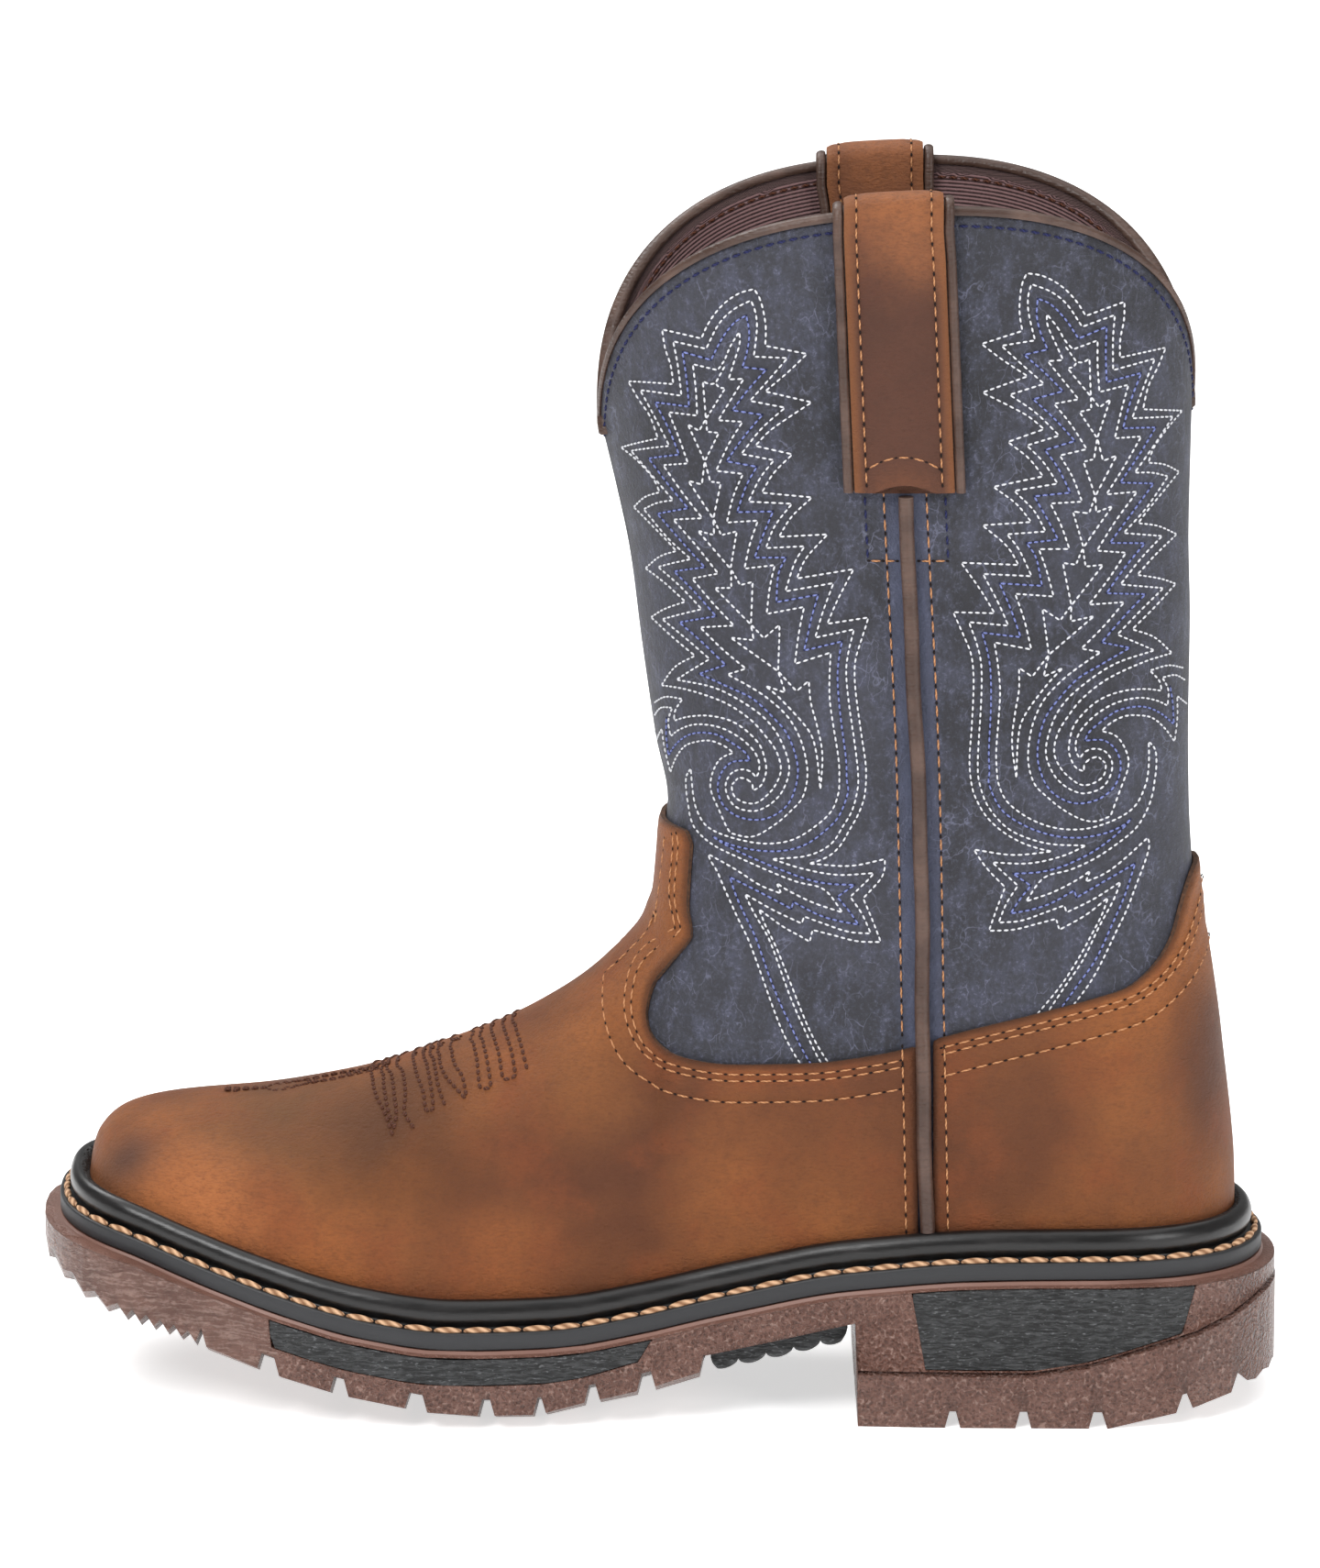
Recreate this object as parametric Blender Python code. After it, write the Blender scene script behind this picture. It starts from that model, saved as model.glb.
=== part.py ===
"""Western boot for the left foot: a hollow upper on a welted, lugged sole.

The boot stands on the floor plane with its toe to -X, its outer (little-toe) side to -Y and its shaft up +Z.
Every form follows from the plan of the feather line (where upper meets sole), the height of the seat that the
upper stands on, and a table of rings that climb from the feather line to the collar.
All sizes are millimetres and become metres where a mesh is made.
"""

import math

import bmesh
import bpy
import numpy as np

MM = 0.001

# Leather, gaps and the welt
WALL = 2.4
OVERLAY = 1.7
GAP = 0.3
SEAT_GAP = 0.7
WELT_LIP = 9.0
WELT_EDGE = 3.5
WELT_BEAD = 8.0
INSOLE_THICKNESS = 3.5

# Rim of the shaft: how far the sides stand above the dips at front and back
RIM_RISE = 55.0
RIM_FULLNESS = 2.5
RIM_ROUND = 0.42
LEG_SQUARENESS = 2.3
RIM_SKEW = 2.6

# Sole
BAND_HEIGHT = 2.3
INSERT_HEIGHT = 7.0
HEEL_INSERT_BOTTOM = 12.5
INSERT_DEPTH = 1.8
LUG_DEPTH = 4.2
TOOTH_DEPTH = 2.2
FOREFOOT_CROWN = 2.5
TOE_FLARE = 3.0
HEEL_FLARE = 2.4
SIDE_FLARE = 0.9
BREAST_X = 49.0
WAIST_X = 10.0
BREAST_RAKE = 0.4
FOREFOOT_INSERT = (-95.0, -3.0)
HEEL_INSERT = (62.0, 128.0)
GRIP_SPAN = (12.5, 46.5)
GRIP_HEIGHT = 5.2

# Plan of the feather line: x, outer edge y, inner edge y
FEATHER_PLAN = (
    (-126.0, -16.5, 41.0),
    (-118.0, -20.0, 44.0),
    (-100.0, -27.5, 50.5),
    (-80.0, -33.5, 54.5),
    (-60.0, -36.0, 54.5),
    (-40.0, -35.5, 49.0),
    (-15.0, -33.0, 39.5),
    (10.0, -30.0, 31.5),
    (35.0, -29.5, 29.5),
    (60.0, -31.0, 31.0),
    (85.0, -32.0, 32.0),
    (106.0, -32.0, 32.0),
)
TOE_TIP = -139.5
TOE_SQUARENESS = 2.6
HEEL_BACK = 140.0
HEEL_ROUNDNESS = 2.1

# Side line of the sole: x, height of the outsole's top
SOLE_TOP = (
    (-149.0, 43.0),
    (-132.0, 39.6),
    (-116.0, 34.5),
    (-93.0, 27.7),
    (-71.0, 22.5),
    (-49.0, 19.9),
    (-26.0, 20.2),
    (-4.0, 23.2),
    (18.0, 27.9),
    (47.0, 33.5),
    (83.0, 36.5),
    (110.0, 36.7),
    (149.0, 35.7),
)

# Side line of the tread: x, height of the lugs' lower ends along the middle of the sole
TREAD_LINE = (
    (-153.0, 33.5),
    (-139.0, 25.0),
    (-116.0, 18.0),
    (-93.0, 11.0),
    (-75.0, 5.0),
    (-58.0, 0.0),
    (-32.0, 0.0),
    (-18.0, 3.5),
    (-4.0, 7.0),
    (WAIST_X, 11.0),
)
WAIST_LINE = ((WAIST_X + 1.0, 17.5), (30.0, 21.5), (BREAST_X, 26.0))
HEEL_BEVEL_X = 128.0
HEEL_BEVEL_RISE = 8.0

# Lugs of the tread: x of the front and of the back of each one
FOREFOOT_LUGS = (
    (-106.5, -94.7),
    (-89.6, -78.4),
    (-73.9, -61.6),
    (-56.5, -44.5),
    (-40.4, -31.6),
    (-28.6, -19.3),
    (-15.5, -6.8),
    (-2.3, 9.5),
)
HEEL_LUGS = ((49.4, 70.1), (74.3, 85.5), (93.6, 104.8), (109.7, 121.5), (126.2, 134.0))
LUG_DRAFT = 1.1
TOE_TEETH_END = -110.0
TREAD_COLUMNS = (0.0, 0.12, 0.46, 0.48, 0.52, 0.54, 0.88, 1.0)
CHANNEL = (0.47, 0.53)

# Rings of the upper's outer face, from the feather line to the collar. Each is a loop whose side view
# runs from the front line to the back line: front x and z, back x and z, share of the seat's sag, share
# of the rim's rise, half-width of the leg, and share of the leg's section against the foot's
RINGS = (
    (-139.5, 42.6, 140.0, 36.9, 1.00, 0.00, 34.0, 0.00),
    (-139.2, 51.2, 140.2, 49.0, 0.92, 0.00, 34.0, 0.00),
    (-136.6, 60.6, 139.9, 59.0, 0.80, 0.00, 34.0, 0.00),
    (-129.8, 65.5, 139.3, 66.0, 0.68, 0.00, 34.0, 0.00),
    (-119.7, 67.8, 138.7, 71.5, 0.60, 0.00, 34.0, 0.00),
    (-97.0, 69.8, 137.9, 78.0, 0.50, 0.00, 34.0, 0.00),
    (-74.0, 74.3, 136.9, 86.0, 0.42, 0.00, 34.0, 0.02),
    (-51.0, 82.5, 135.8, 95.0, 0.33, 0.00, 34.0, 0.08),
    (-28.0, 93.8, 134.3, 105.0, 0.22, 0.00, 34.3, 0.24),
    (-7.6, 110.5, 132.6, 116.0, 0.10, 0.01, 34.8, 0.52),
    (0.0, 124.0, 131.2, 127.0, 0.04, 0.03, 35.4, 0.80),
    (2.2, 147.0, 129.7, 148.0, 0.00, 0.12, 36.8, 1.00),
    (-0.8, 164.0, 129.3, 168.0, 0.00, 0.28, 38.2, 1.00),
    (-4.1, 186.9, 129.4, 190.0, 0.00, 0.48, 39.6, 1.00),
    (-7.0, 209.7, 128.8, 212.0, 0.00, 0.70, 40.8, 1.00),
    (-10.6, 227.0, 129.0, 231.0, 0.00, 0.87, 41.5, 1.00),
    (-13.2, 238.0, 129.2, 244.5, 0.00, 1.00, 42.0, 1.00),
)
FRONT_X, FRONT_Z, BACK_X, BACK_Z, SAG, RIM, LEG_HALF, LEG_SHARE = range(8)
THROAT_RING = 11
RIDGE_CLIMB = 12.0

# Cross-sections of the foot: x, roundness of the arch over the foot, swell of the sides
FOOT_SECTIONS = (
    (-139.5, 3.0, 0.00),
    (-110.0, 2.9, 0.00),
    (-75.0, 2.5, 0.01),
    (-40.0, 2.2, 0.04),
    (0.0, 2.1, 0.08),
    (40.0, 2.2, 0.09),
    (90.0, 2.4, 0.07),
    (140.0, 2.6, 0.03),
)
SWELL_START = 7.0
SWELL_SPAN = 80.0

# Panel lines in the side view: x and z of the vamp's top edge from tongue to seam, and of the counter's
VAMP_EDGE = (
    (-6.0, 147.5),
    (1.0, 146.0),
    (4.6, 141.5),
    (6.8, 134.0),
    (6.0, 125.5),
    (3.5, 117.0),
    (-0.8, 107.5),
    (-2.0, 99.5),
    (1.0, 93.0),
    (9.0, 90.2),
    (22.0, 89.6),
    (40.0, 91.2),
    (61.4, 94.6),
)
COUNTER_EDGE = (
    (66.6, 95.4),
    (84.6, 98.7),
    (102.4, 103.3),
    (115.9, 108.6),
    (123.9, 114.4),
    (128.2, 120.6),
    (130.8, 127.7),
    (133.0, 132.5),
    (140.0, 136.0),
)

# Side seam: z and x of the piping that covers it
SEAM_LINE = ((46.0, 65.5), (94.0, 64.2), (161.0, 62.4), (230.0, 58.8), (300.0, 55.5))
PIPING_RADIUS = 1.8
PIPING_TOP = 230.5
PIPING_FOOT = 47.5

# Pull straps
STRAP_BOTTOM = 232.0
STRAP_INSIDE_BOTTOM = 250.0
STRAP_HALF = 12.6
STRAP_THICKNESS = 1.7
EDGING_HALF = 15.3
EDGING_BEAD = 2.7
EDGING_WEB = 0.9
STRAP_LOOP = 1.0

BINDING_HEIGHT = 3.4
BINDING_OVERHANG = 0.9
BINDING_LIFT = 0.7

# Facets
AROUND = 38
RING_STEPS = 20
OVERLAY_STEPS = 14
WELT_STATIONS = 56
RING_SAMPLES = 241
CAP_DEGREES = 15
TOOTH_PITCH = 2.0
TUBE_SIDES = 6

# Colour, roughness
FINISHES = {
    "brown_rubber": ((0.16, 0.075, 0.055), 0.75),
    "black_rubber": ((0.022, 0.023, 0.024), 0.6),
    "black_welt": ((0.012, 0.011, 0.011), 0.35),
    "tan_leather": ((0.36, 0.15, 0.045), 0.55),
    "blue_leather": ((0.05, 0.062, 0.105), 0.6),
    "brown_piping": ((0.10, 0.065, 0.045), 0.5),
    "insole_board": ((0.09, 0.055, 0.045), 0.8),
}


class Curve:
    """Monotone cubic through points, carried on as a straight line past both ends."""

    def __init__(self, xs, ys):
        self.xs, self.ys = np.array(xs, float), np.array(ys, float)
        self.step = np.diff(self.xs)
        slope = np.diff(self.ys) / self.step
        self.tangent = np.concatenate([slope[:1], np.zeros(len(slope) - 1), slope[-1:]])
        for i in range(1, len(slope)):
            if slope[i - 1] * slope[i] > 0:
                near, far = 2 * self.step[i] + self.step[i - 1], self.step[i] + 2 * self.step[i - 1]
                self.tangent[i] = (near + far) / (near / slope[i - 1] + far / slope[i])

    def __call__(self, x):
        x = np.asarray(x, float)
        inside = np.clip(x, self.xs[0], self.xs[-1])
        k = np.clip(np.searchsorted(self.xs, inside) - 1, 0, len(self.step) - 1)
        step = self.step[k]
        t = (inside - self.xs[k]) / step
        value = (
            (1 + 2 * t) * (1 - t) ** 2 * self.ys[k]
            + t * (1 - t) ** 2 * step * self.tangent[k]
            + t * t * (3 - 2 * t) * self.ys[k + 1]
            - t * t * (1 - t) * step * self.tangent[k + 1]
        )
        past_end = np.where(x > inside, self.tangent[-1], self.tangent[0])
        return value + past_end * (x - inside)


def column(table, index):
    return [row[index] for row in table]


def table_curve(table, index=1):
    return Curve(column(table, 0), column(table, index))


def ease(x, start, end):
    t = np.clip((np.asarray(x, float) - start) / (end - start), 0, 1)
    return t * t * (3 - 2 * t)


sole_top = table_curve(SOLE_TOP)
tread_line = table_curve(TREAD_LINE)
waist_line = table_curve(WAIST_LINE)
outer_plan, inner_plan = table_curve(FEATHER_PLAN, 1), table_curve(FEATHER_PLAN, 2)
foot_roundness, foot_swell = table_curve(FOOT_SECTIONS, 1), table_curve(FOOT_SECTIONS, 2)
foot_ridge = table_curve(RINGS[: THROAT_RING + 1], FRONT_Z)
ring_curves = [Curve(range(len(RINGS)), column(RINGS, index)) for index in range(len(RINGS[0]))]
seam_line = table_curve(SEAM_LINE)


def seat(x):
    return sole_top(x) + SEAT_GAP


def feather(x):
    """Outer and inner edge of the feather line at x, closed by a squared toe and a round heel."""
    toe_x, heel_x = FEATHER_PLAN[0][0], FEATHER_PLAN[-1][0]
    outer, inner = outer_plan(x), inner_plan(x)
    toe = np.clip((toe_x - x) / (toe_x - TOE_TIP), 0, 1)
    heel = np.clip((x - heel_x) / (HEEL_BACK - heel_x), 0, 1)
    shrink = (1 - toe**TOE_SQUARENESS) ** (1 / TOE_SQUARENESS)
    shrink = shrink * (1 - heel**HEEL_ROUNDNESS) ** (1 / HEEL_ROUNDNESS)
    centre, half = (outer + inner) / 2, (inner - outer) / 2 * shrink
    return centre - half, centre + half


def make_outline():
    """The feather line as two dense runs from toe to heel, outer then inner: x, y and outward normal."""
    turn = 0.5 - 0.5 * np.cos(np.linspace(0, math.pi, RING_SAMPLES))
    x = TOE_TIP + turn * (HEEL_BACK - TOE_TIP)
    outer, inner = feather(x)
    loop = np.concatenate([np.stack([x, outer], 1), np.stack([x, inner], 1)[-2:0:-1]])
    along = np.roll(loop, -1, 0) - np.roll(loop, 1, 0)
    normal = np.stack([along[:, 1], -along[:, 0]], 1) / np.linalg.norm(along, axis=1)[:, None]
    back = RING_SAMPLES
    order = np.concatenate([[0], np.arange(len(loop) - 1, back - 2, -1)])
    return [(loop[:back], normal[:back]), (loop[order], normal[order])]


UPPER_LEVELS = np.linspace(0, len(RINGS) - 1, RING_STEPS + 1)
OUTLINE = make_outline()
OUTER, INNER = 0, 1
SIDE_SIGN = (-1.0, 1.0)


def edge_point(side, x, offset):
    """Plan point that lies offset outside the feather line, opposite station x."""
    points, normals = OUTLINE[side]
    at = [np.interp(x, points[:, 0], values) for values in (points[:, 1], normals[:, 0], normals[:, 1])]
    length = math.hypot(at[1], at[2])
    return x + at[1] / length * offset, at[0] + at[2] / length * offset


def ridge(x):
    """Height of the foot's ridge; behind the throat it climbs away, because the leg has no ridge."""
    throat_x = RINGS[THROAT_RING][FRONT_X]
    return foot_ridge(np.clip(x, TOE_TIP, throat_x)) + RIDGE_CLIMB * np.clip(x - throat_x, 0, None)


def ring_section(level, x):
    """Side-view height, centre and half-width of the ring at this level, for points at x."""
    front_x, front_z, back_x, back_z, sag, rim, leg, leg_share = (curve(level) for curve in ring_curves)
    front_z = np.where(level <= THROAT_RING, ridge(front_x), front_z)
    share = np.clip((x - front_x) / (back_x - front_x), 0, 1)
    across = np.abs(2 * share - 1)
    chord = seat(front_x) + share * (seat(back_x) - seat(front_x))
    rise = RIM_RISE * (1 - across**RIM_FULLNESS) ** RIM_ROUND
    z = front_z + share * (back_z - front_z) + sag * (seat(x) - chord) + rim * rise

    outer, inner = feather(x + (HEEL_BACK - back_x) * ease(x, 60.0, back_x))
    height = np.clip((z - seat(x)) / np.maximum(ridge(x) - seat(x), 1e-3), 0, 1)
    arch = np.sqrt(1 - height ** foot_roundness(x))
    lift = np.clip((z - seat(x) - SWELL_START) / SWELL_SPAN, 0, 1)
    foot = (inner - outer) / 2 * arch * (1 + foot_swell(x) * np.sin(math.pi * lift) ** 2)
    leg = leg * (1 - across**LEG_SQUARENESS) ** (1 / LEG_SQUARENESS)
    half = np.where((share > 0) & (share < 1), foot + leg_share * (leg - foot), 0.0)
    return z, (outer + inner) / 2 * (1 - leg_share), half


def spread(points, count):
    """The same line in count even steps, drawn closer together towards both ends."""
    travel = np.concatenate([[0], np.cumsum(np.linalg.norm(np.diff(points, axis=0), axis=1))])
    even = np.linspace(0, 1, count + 1)
    want = (0.6 * even + 0.4 * (0.5 - 0.5 * np.cos(math.pi * even))) * travel[-1]
    return np.stack([np.interp(want, travel, points[:, i]) for i in range(3)], 1)


def ring_points(level):
    """One closed ring: front centre, outer side, back centre, inner side."""
    turn = 0.5 - 0.5 * np.cos(np.linspace(0, math.pi, RING_SAMPLES))
    front_x, back_x = ring_curves[FRONT_X](level), ring_curves[BACK_X](level)
    x = front_x + turn * (back_x - front_x)
    z, centre, half = ring_section(level, x)
    outer = spread(np.stack([x, centre - half, z], 1), AROUND // 2)
    inner = spread(np.stack([x - skew(INNER, level) * half / max(half), centre + half, z], 1), AROUND // 2)
    return np.concatenate([outer, inner[-2:0:-1]])


def upper_grid(levels, offset):
    """Rings of the upper's outer face, moved out by offset."""
    grid = np.stack([ring_points(level) for level in levels])
    around = np.roll(grid, -1, 1) - np.roll(grid, 1, 1)
    upward = np.gradient(grid, axis=0)
    normal = np.cross(around, upward)
    normal /= np.linalg.norm(normal, axis=2)[:, :, None]
    return grid + offset * normal


def skew(side, level):
    """How far the inner side of the shaft sits further forward than the outer side."""
    return RIM_SKEW * ring_curves[RIM](level) if side == INNER else 0.0


def wall_depth(side, x, z):
    """y of the upper's outer face at x and z on one side."""
    low, high = np.zeros_like(x), np.full_like(x, len(RINGS) - 1)
    for _ in range(30):
        level = (low + high) / 2
        under = ring_section(level, x + skew(side, level))[0] < z
        low, high = np.where(under, level, low), np.where(under, high, level)
    _, centre, half = ring_section(level, x + skew(side, level))
    return centre + SIDE_SIGN[side] * half


def wall_point(side, x, z, step=1.0):
    """Point of the upper's outer face at x and z on one side, with its outward normal."""
    around = np.array([(0, 0), (step, 0), (-step, 0), (0, step), (0, -step)])
    y = wall_depth(side, x + around[:, 0], z + around[:, 1])
    normal = np.array([y[2] - y[1], 2 * step, y[4] - y[3]]) * SIDE_SIGN[side]
    return np.array([x, y[0], z]), normal / np.linalg.norm(normal)


class Solid:
    """Points in millimetres and faces of one closed piece."""

    def __init__(self):
        self.points = []
        self.faces = []

    def add(self, points):
        start = len(self.points)
        self.points.extend(tuple(p) for p in points)
        return list(range(start, len(self.points)))

    def bridge(self, first, second, closed):
        """Quads between two rows of points; the outside is on the right of first, walking up to second."""
        count = len(first)
        for i in range(count if closed else count - 1):
            j = (i + 1) % count
            self.faces.append((first[i], first[j], second[j], second[i]))

    def loft(self, sections, closed_path=False, capped=True):
        """Skin over closed sections; the path is a loop, has flat caps, or closes to nothing at its ends."""
        rows = [self.add(section) for section in sections]
        for first, second in zip(rows, rows[1:]):
            self.bridge(first, second, True)
        if closed_path:
            self.bridge(rows[-1], rows[0], True)
        elif capped:
            self.faces.append(tuple(reversed(rows[0])))
            self.faces.append(tuple(rows[-1]))
        return self


def shell(outer, inner):
    """Closed wall between two grids of rings; both faces are cut along the same diagonals."""
    solid = Solid()
    out_rows = [solid.add(ring) for ring in outer]
    in_rows = [solid.add(ring) for ring in inner]
    count = len(out_rows[0])
    for rows, turned in ((out_rows, False), (in_rows, True)):
        for low, high in zip(rows, rows[1:]):
            for i in range(count):
                j = (i + 1) % count
                corners = ((low[i], low[j], high[j]), (low[i], high[j], high[i]))
                solid.faces += [face[::-1] if turned else face for face in corners]
    solid.bridge(out_rows[-1], in_rows[-1], True)
    solid.bridge(in_rows[0], out_rows[0], True)
    return solid


def make_upper():
    return shell(upper_grid(UPPER_LEVELS, 0.0), upper_grid(UPPER_LEVELS, -WALL))


def make_overlay_shell():
    """The skin, one overlay thick, that vamp and counter are cut from."""
    levels = UPPER_LEVELS[: OVERLAY_STEPS + 1]
    return shell(upper_grid(levels, GAP + OVERLAY), upper_grid(levels, GAP))


def curve_through(points, steps):
    """Smooth line through hand-placed points."""
    points = np.array(points, float)
    travel = np.concatenate([[0], np.cumsum(np.linalg.norm(np.diff(points, axis=0), axis=1))])
    want = np.linspace(0, travel[-1], steps)
    return np.stack([Curve(travel, points[:, i])(want) for i in range(points.shape[1])], 1)


def make_prism(outline, reach=90.0):
    """Side-view outline carried across the whole boot, as a cutter."""
    front = [(x, -reach, z) for x, z in outline]
    back = [(x, reach, z) for x, z in outline]
    area = sum(a[0] * b[1] - b[0] * a[1] for a, b in zip(outline, outline[1:] + outline[:1]))
    sections = [front, back] if area < 0 else [back, front]
    return Solid().loft(sections)


def vamp_outline():
    edge = [tuple(p) for p in curve_through(VAMP_EDGE, 30)]
    seam_x = edge[-1][0]
    return edge + [(seam_x + 1.2, 20.0), (-160.0, 20.0), (-160.0, 147.5)]


def counter_outline():
    edge = [tuple(p) for p in curve_through(COUNTER_EDGE, 22)]
    seam_x = edge[0][0]
    return edge + [(160.0, 136.0), (160.0, 20.0), (seam_x + 1.2, 20.0)]


def side_flare(x):
    return SIDE_FLARE + TOE_FLARE * ease(-x, 95.0, 135.0) + HEEL_FLARE * ease(x, 95.0, 138.0)


def lug_corners(lugs):
    """Stations of each lug: root, foot, foot, root."""
    corners = []
    for front, back in lugs:
        corners += [(front - LUG_DRAFT, 0.0), (front, 1.0), (back, 1.0), (back + LUG_DRAFT, 0.0)]
    return corners


def sole_stations():
    """Stations of the sole from toe to heel: x, lug share and which stretch of the sole it is in."""
    turns = np.radians(np.arange(0, 91, CAP_DEGREES / 1.5))
    toe_x, heel_x = FEATHER_PLAN[0][0], FEATHER_PLAN[-1][0]
    toe = [toe_x - (toe_x - TOE_TIP) * math.cos(a) for a in turns]
    toe += list(np.arange(toe_x + TOOTH_PITCH, TOE_TEETH_END, TOOTH_PITCH))
    stations = [(x, float(i % 2 == 0), "teeth") for i, x in enumerate(toe)]
    stations += [(x, lug, "forefoot") for x, lug in lug_corners(FOREFOOT_LUGS)]
    stations += [(x, 0.0, "waist") for x in np.linspace(WAIST_X + 1.0, BREAST_X - BREAST_RAKE, 5)]
    stations += [(x, lug, "heel") for x, lug in lug_corners(HEEL_LUGS)[1:]]
    turns = np.radians(np.arange(90, -1, -CAP_DEGREES))
    heel = [heel_x + (HEEL_BACK - heel_x) * math.cos(a) for a in turns]
    last = stations[-1][0]
    stations += [(x, 1.0, "heel") for x in heel if x > last + 1.0]
    return insert_ends(stations)


def insert_ends(stations):
    """Adds the steps at the ends of the insert pockets between the stations that are already there."""
    for end, inside in zip(FOREFOOT_INSERT + HEEL_INSERT, (1, -1, 1, -1)):
        for x in (end - inside * GAP / 2, end + inside * GAP / 2, end + inside * 1.5 * GAP):
            after = next(i for i, s in enumerate(stations) if s[0] > x)
            before, behind = stations[after - 1], stations[after]
            share = (x - before[0]) / (behind[0] - before[0])
            lug = before[1] + share * (behind[1] - before[1])
            stations.insert(after, (x, lug, behind[2]))
    return stations


def in_insert(x):
    return any(low < x < high for low, high in (FOREFOOT_INSERT, HEEL_INSERT))


def insert_span(x, actual_x):
    """Heights of the lower and upper edge of the insert's pocket."""
    top = sole_top(actual_x) - BAND_HEIGHT
    if x > BREAST_X - BREAST_RAKE:
        rise = 9.0 * ease(x, 95.0, 135.0)
        return min(HEEL_INSERT_BOTTOM + rise, top - INSERT_HEIGHT), top
    return top - INSERT_HEIGHT * (1 - 0.3 * ease(x, -30.0, 0.0)), top


def tread_height(x, lug, stretch):
    """Height of the sole's underside along its middle."""
    if stretch == "waist":
        return waist_line(x)
    if stretch == "heel":
        return HEEL_BEVEL_RISE * ease(x, HEEL_BEVEL_X, HEEL_BACK + 18.0) + LUG_DEPTH * (1 - lug)
    depth = TOOTH_DEPTH if stretch == "teeth" else LUG_DEPTH
    return tread_line(x) + depth * (1 - lug)


def fullness(x):
    """0 at the very tip of toe and heel, where the tread runs out to a point, and 1 along the sole."""
    outer, inner = edge_point(OUTER, x, 0.0), edge_point(INNER, x, 0.0)
    return min(1.0, (inner[1] - outer[1]) / 25.0)


def pocket_span(side, x, lug, stretch):
    """Lower and upper edge of the insert's pocket in the sole's side face, and the lug's lower end."""
    face_x, _ = edge_point(side, x, WELT_LIP + side_flare(x))
    crown = FOREFOOT_CROWN if stretch in ("teeth", "forefoot") else 0.0
    foot = tread_height(face_x, lug, stretch) + crown * fullness(x)
    low, high = insert_span(x, face_x)
    low = max(low, foot + 1.0)
    return low, max(high, low + 1.0), foot


def sole_section(x, lug, stretch):
    """Cross-section of the outsole at x: down the outer side, across the tread, up the inner side."""
    flare = WELT_LIP + side_flare(x)
    pocket = INSERT_DEPTH if in_insert(x) else 0.0
    edges = []
    for side in (OUTER, INNER):
        top, face, deep = (edge_point(side, x, offset) for offset in (WELT_LIP, flare, flare - pocket))
        low, high, foot = pocket_span(side, x, lug, stretch)
        edges.append(
            [
                (*top, sole_top(top[0])),
                (*face, high),
                (*deep, high - GAP / 2),
                (*deep, low + GAP / 2),
                (*face, low),
                (*face, foot),
            ]
        )
    outer, inner = edges
    tread = []
    for share in TREAD_COLUMNS[1:-1]:
        at = [(1 - share) * a + share * b for a, b in zip(outer[-1], inner[-1])]
        channel = fullness(x) if CHANNEL[0] < share < CHANNEL[1] and stretch != "waist" else 0.0
        tread.append((at[0], at[1], tread_height(at[0], lug * (1 - channel), stretch)))
    return outer + tread + inner[::-1]


def make_outsole():
    return Solid().loft([sole_section(*station) for station in sole_stations()], capped=False)


def make_insert(side, span):
    """Black side panel that fills its pocket in the sole's edge, on the pocket's own stations."""
    sections = []
    stations = [station for station in sole_stations() if span[0] + GAP < station[0] < span[1] - GAP]
    for x, lug, stretch in stations:
        flare = WELT_LIP + side_flare(x)
        face, deep = edge_point(side, x, flare - 0.1), edge_point(side, x, flare - INSERT_DEPTH + GAP)
        low, high, _ = pocket_span(side, x, lug, stretch)
        low, high = low + 1.5 * GAP, high - 1.5 * GAP
        sections.append([(*deep, low), (*face, low), (*face, high), (*deep, high)])
    return Solid().loft(sections)


def make_waist_grip():
    """Ribbed block under the waist, between tread and heel."""
    sections = []
    teeth = 5
    stations = np.linspace(GRIP_SPAN[0], GRIP_SPAN[1], 2 * teeth + 1)
    for i, x in enumerate(stations):
        top = waist_line(x) - GAP
        low = top - GRIP_HEIGHT + (1.6 if i % 2 else 0.0)
        outer, inner = edge_point(OUTER, x, WELT_LIP - 2.5), edge_point(INNER, x, WELT_LIP - 2.5)
        sections.append([(*outer, top), (*outer, low), (*inner, low), (*inner, top)])
    return Solid().loft(sections)


def outline_stations(count):
    """Stations round the whole feather line: outer side from toe to heel, then inner side back."""
    turn = np.linspace(0, math.pi, count // 2 + 1)
    mixed = 0.45 * (0.5 - 0.5 * np.cos(turn)) + 0.55 * turn / math.pi
    cap = 0.5 - 0.5 * np.cos(math.pi * mixed)
    x = TOE_TIP + cap * (HEEL_BACK - TOE_TIP)
    return [(OUTER, v) for v in x] + [(INNER, v) for v in x[-2:0:-1]]


def make_welt():
    """Welt strip: a flat lip that carries the stitches and a rolled bead against the upper."""
    inside = OVERLAY + 3 * GAP
    profile = (
        (inside, 0.0),
        (inside, WELT_EDGE + WELT_BEAD - 0.6),
        (inside + 0.9, WELT_EDGE + WELT_BEAD),
        (inside + 2.2, WELT_EDGE + WELT_BEAD - 1.6),
        (inside + 3.2, WELT_EDGE + WELT_BEAD - 4.4),
        (inside + 3.4, WELT_EDGE),
        (WELT_LIP - 0.5, WELT_EDGE),
        (WELT_LIP, WELT_EDGE - 0.6),
        (WELT_LIP, 0.0),
    )
    sections = []
    for side, x in outline_stations(WELT_STATIONS):
        section = []
        for offset, height in profile:
            at_x, at_y = edge_point(side, x, offset)
            section.append((at_x, at_y, sole_top(at_x) + GAP + height))
        sections.append(section)
    return Solid().loft(sections, closed_path=True)


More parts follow.
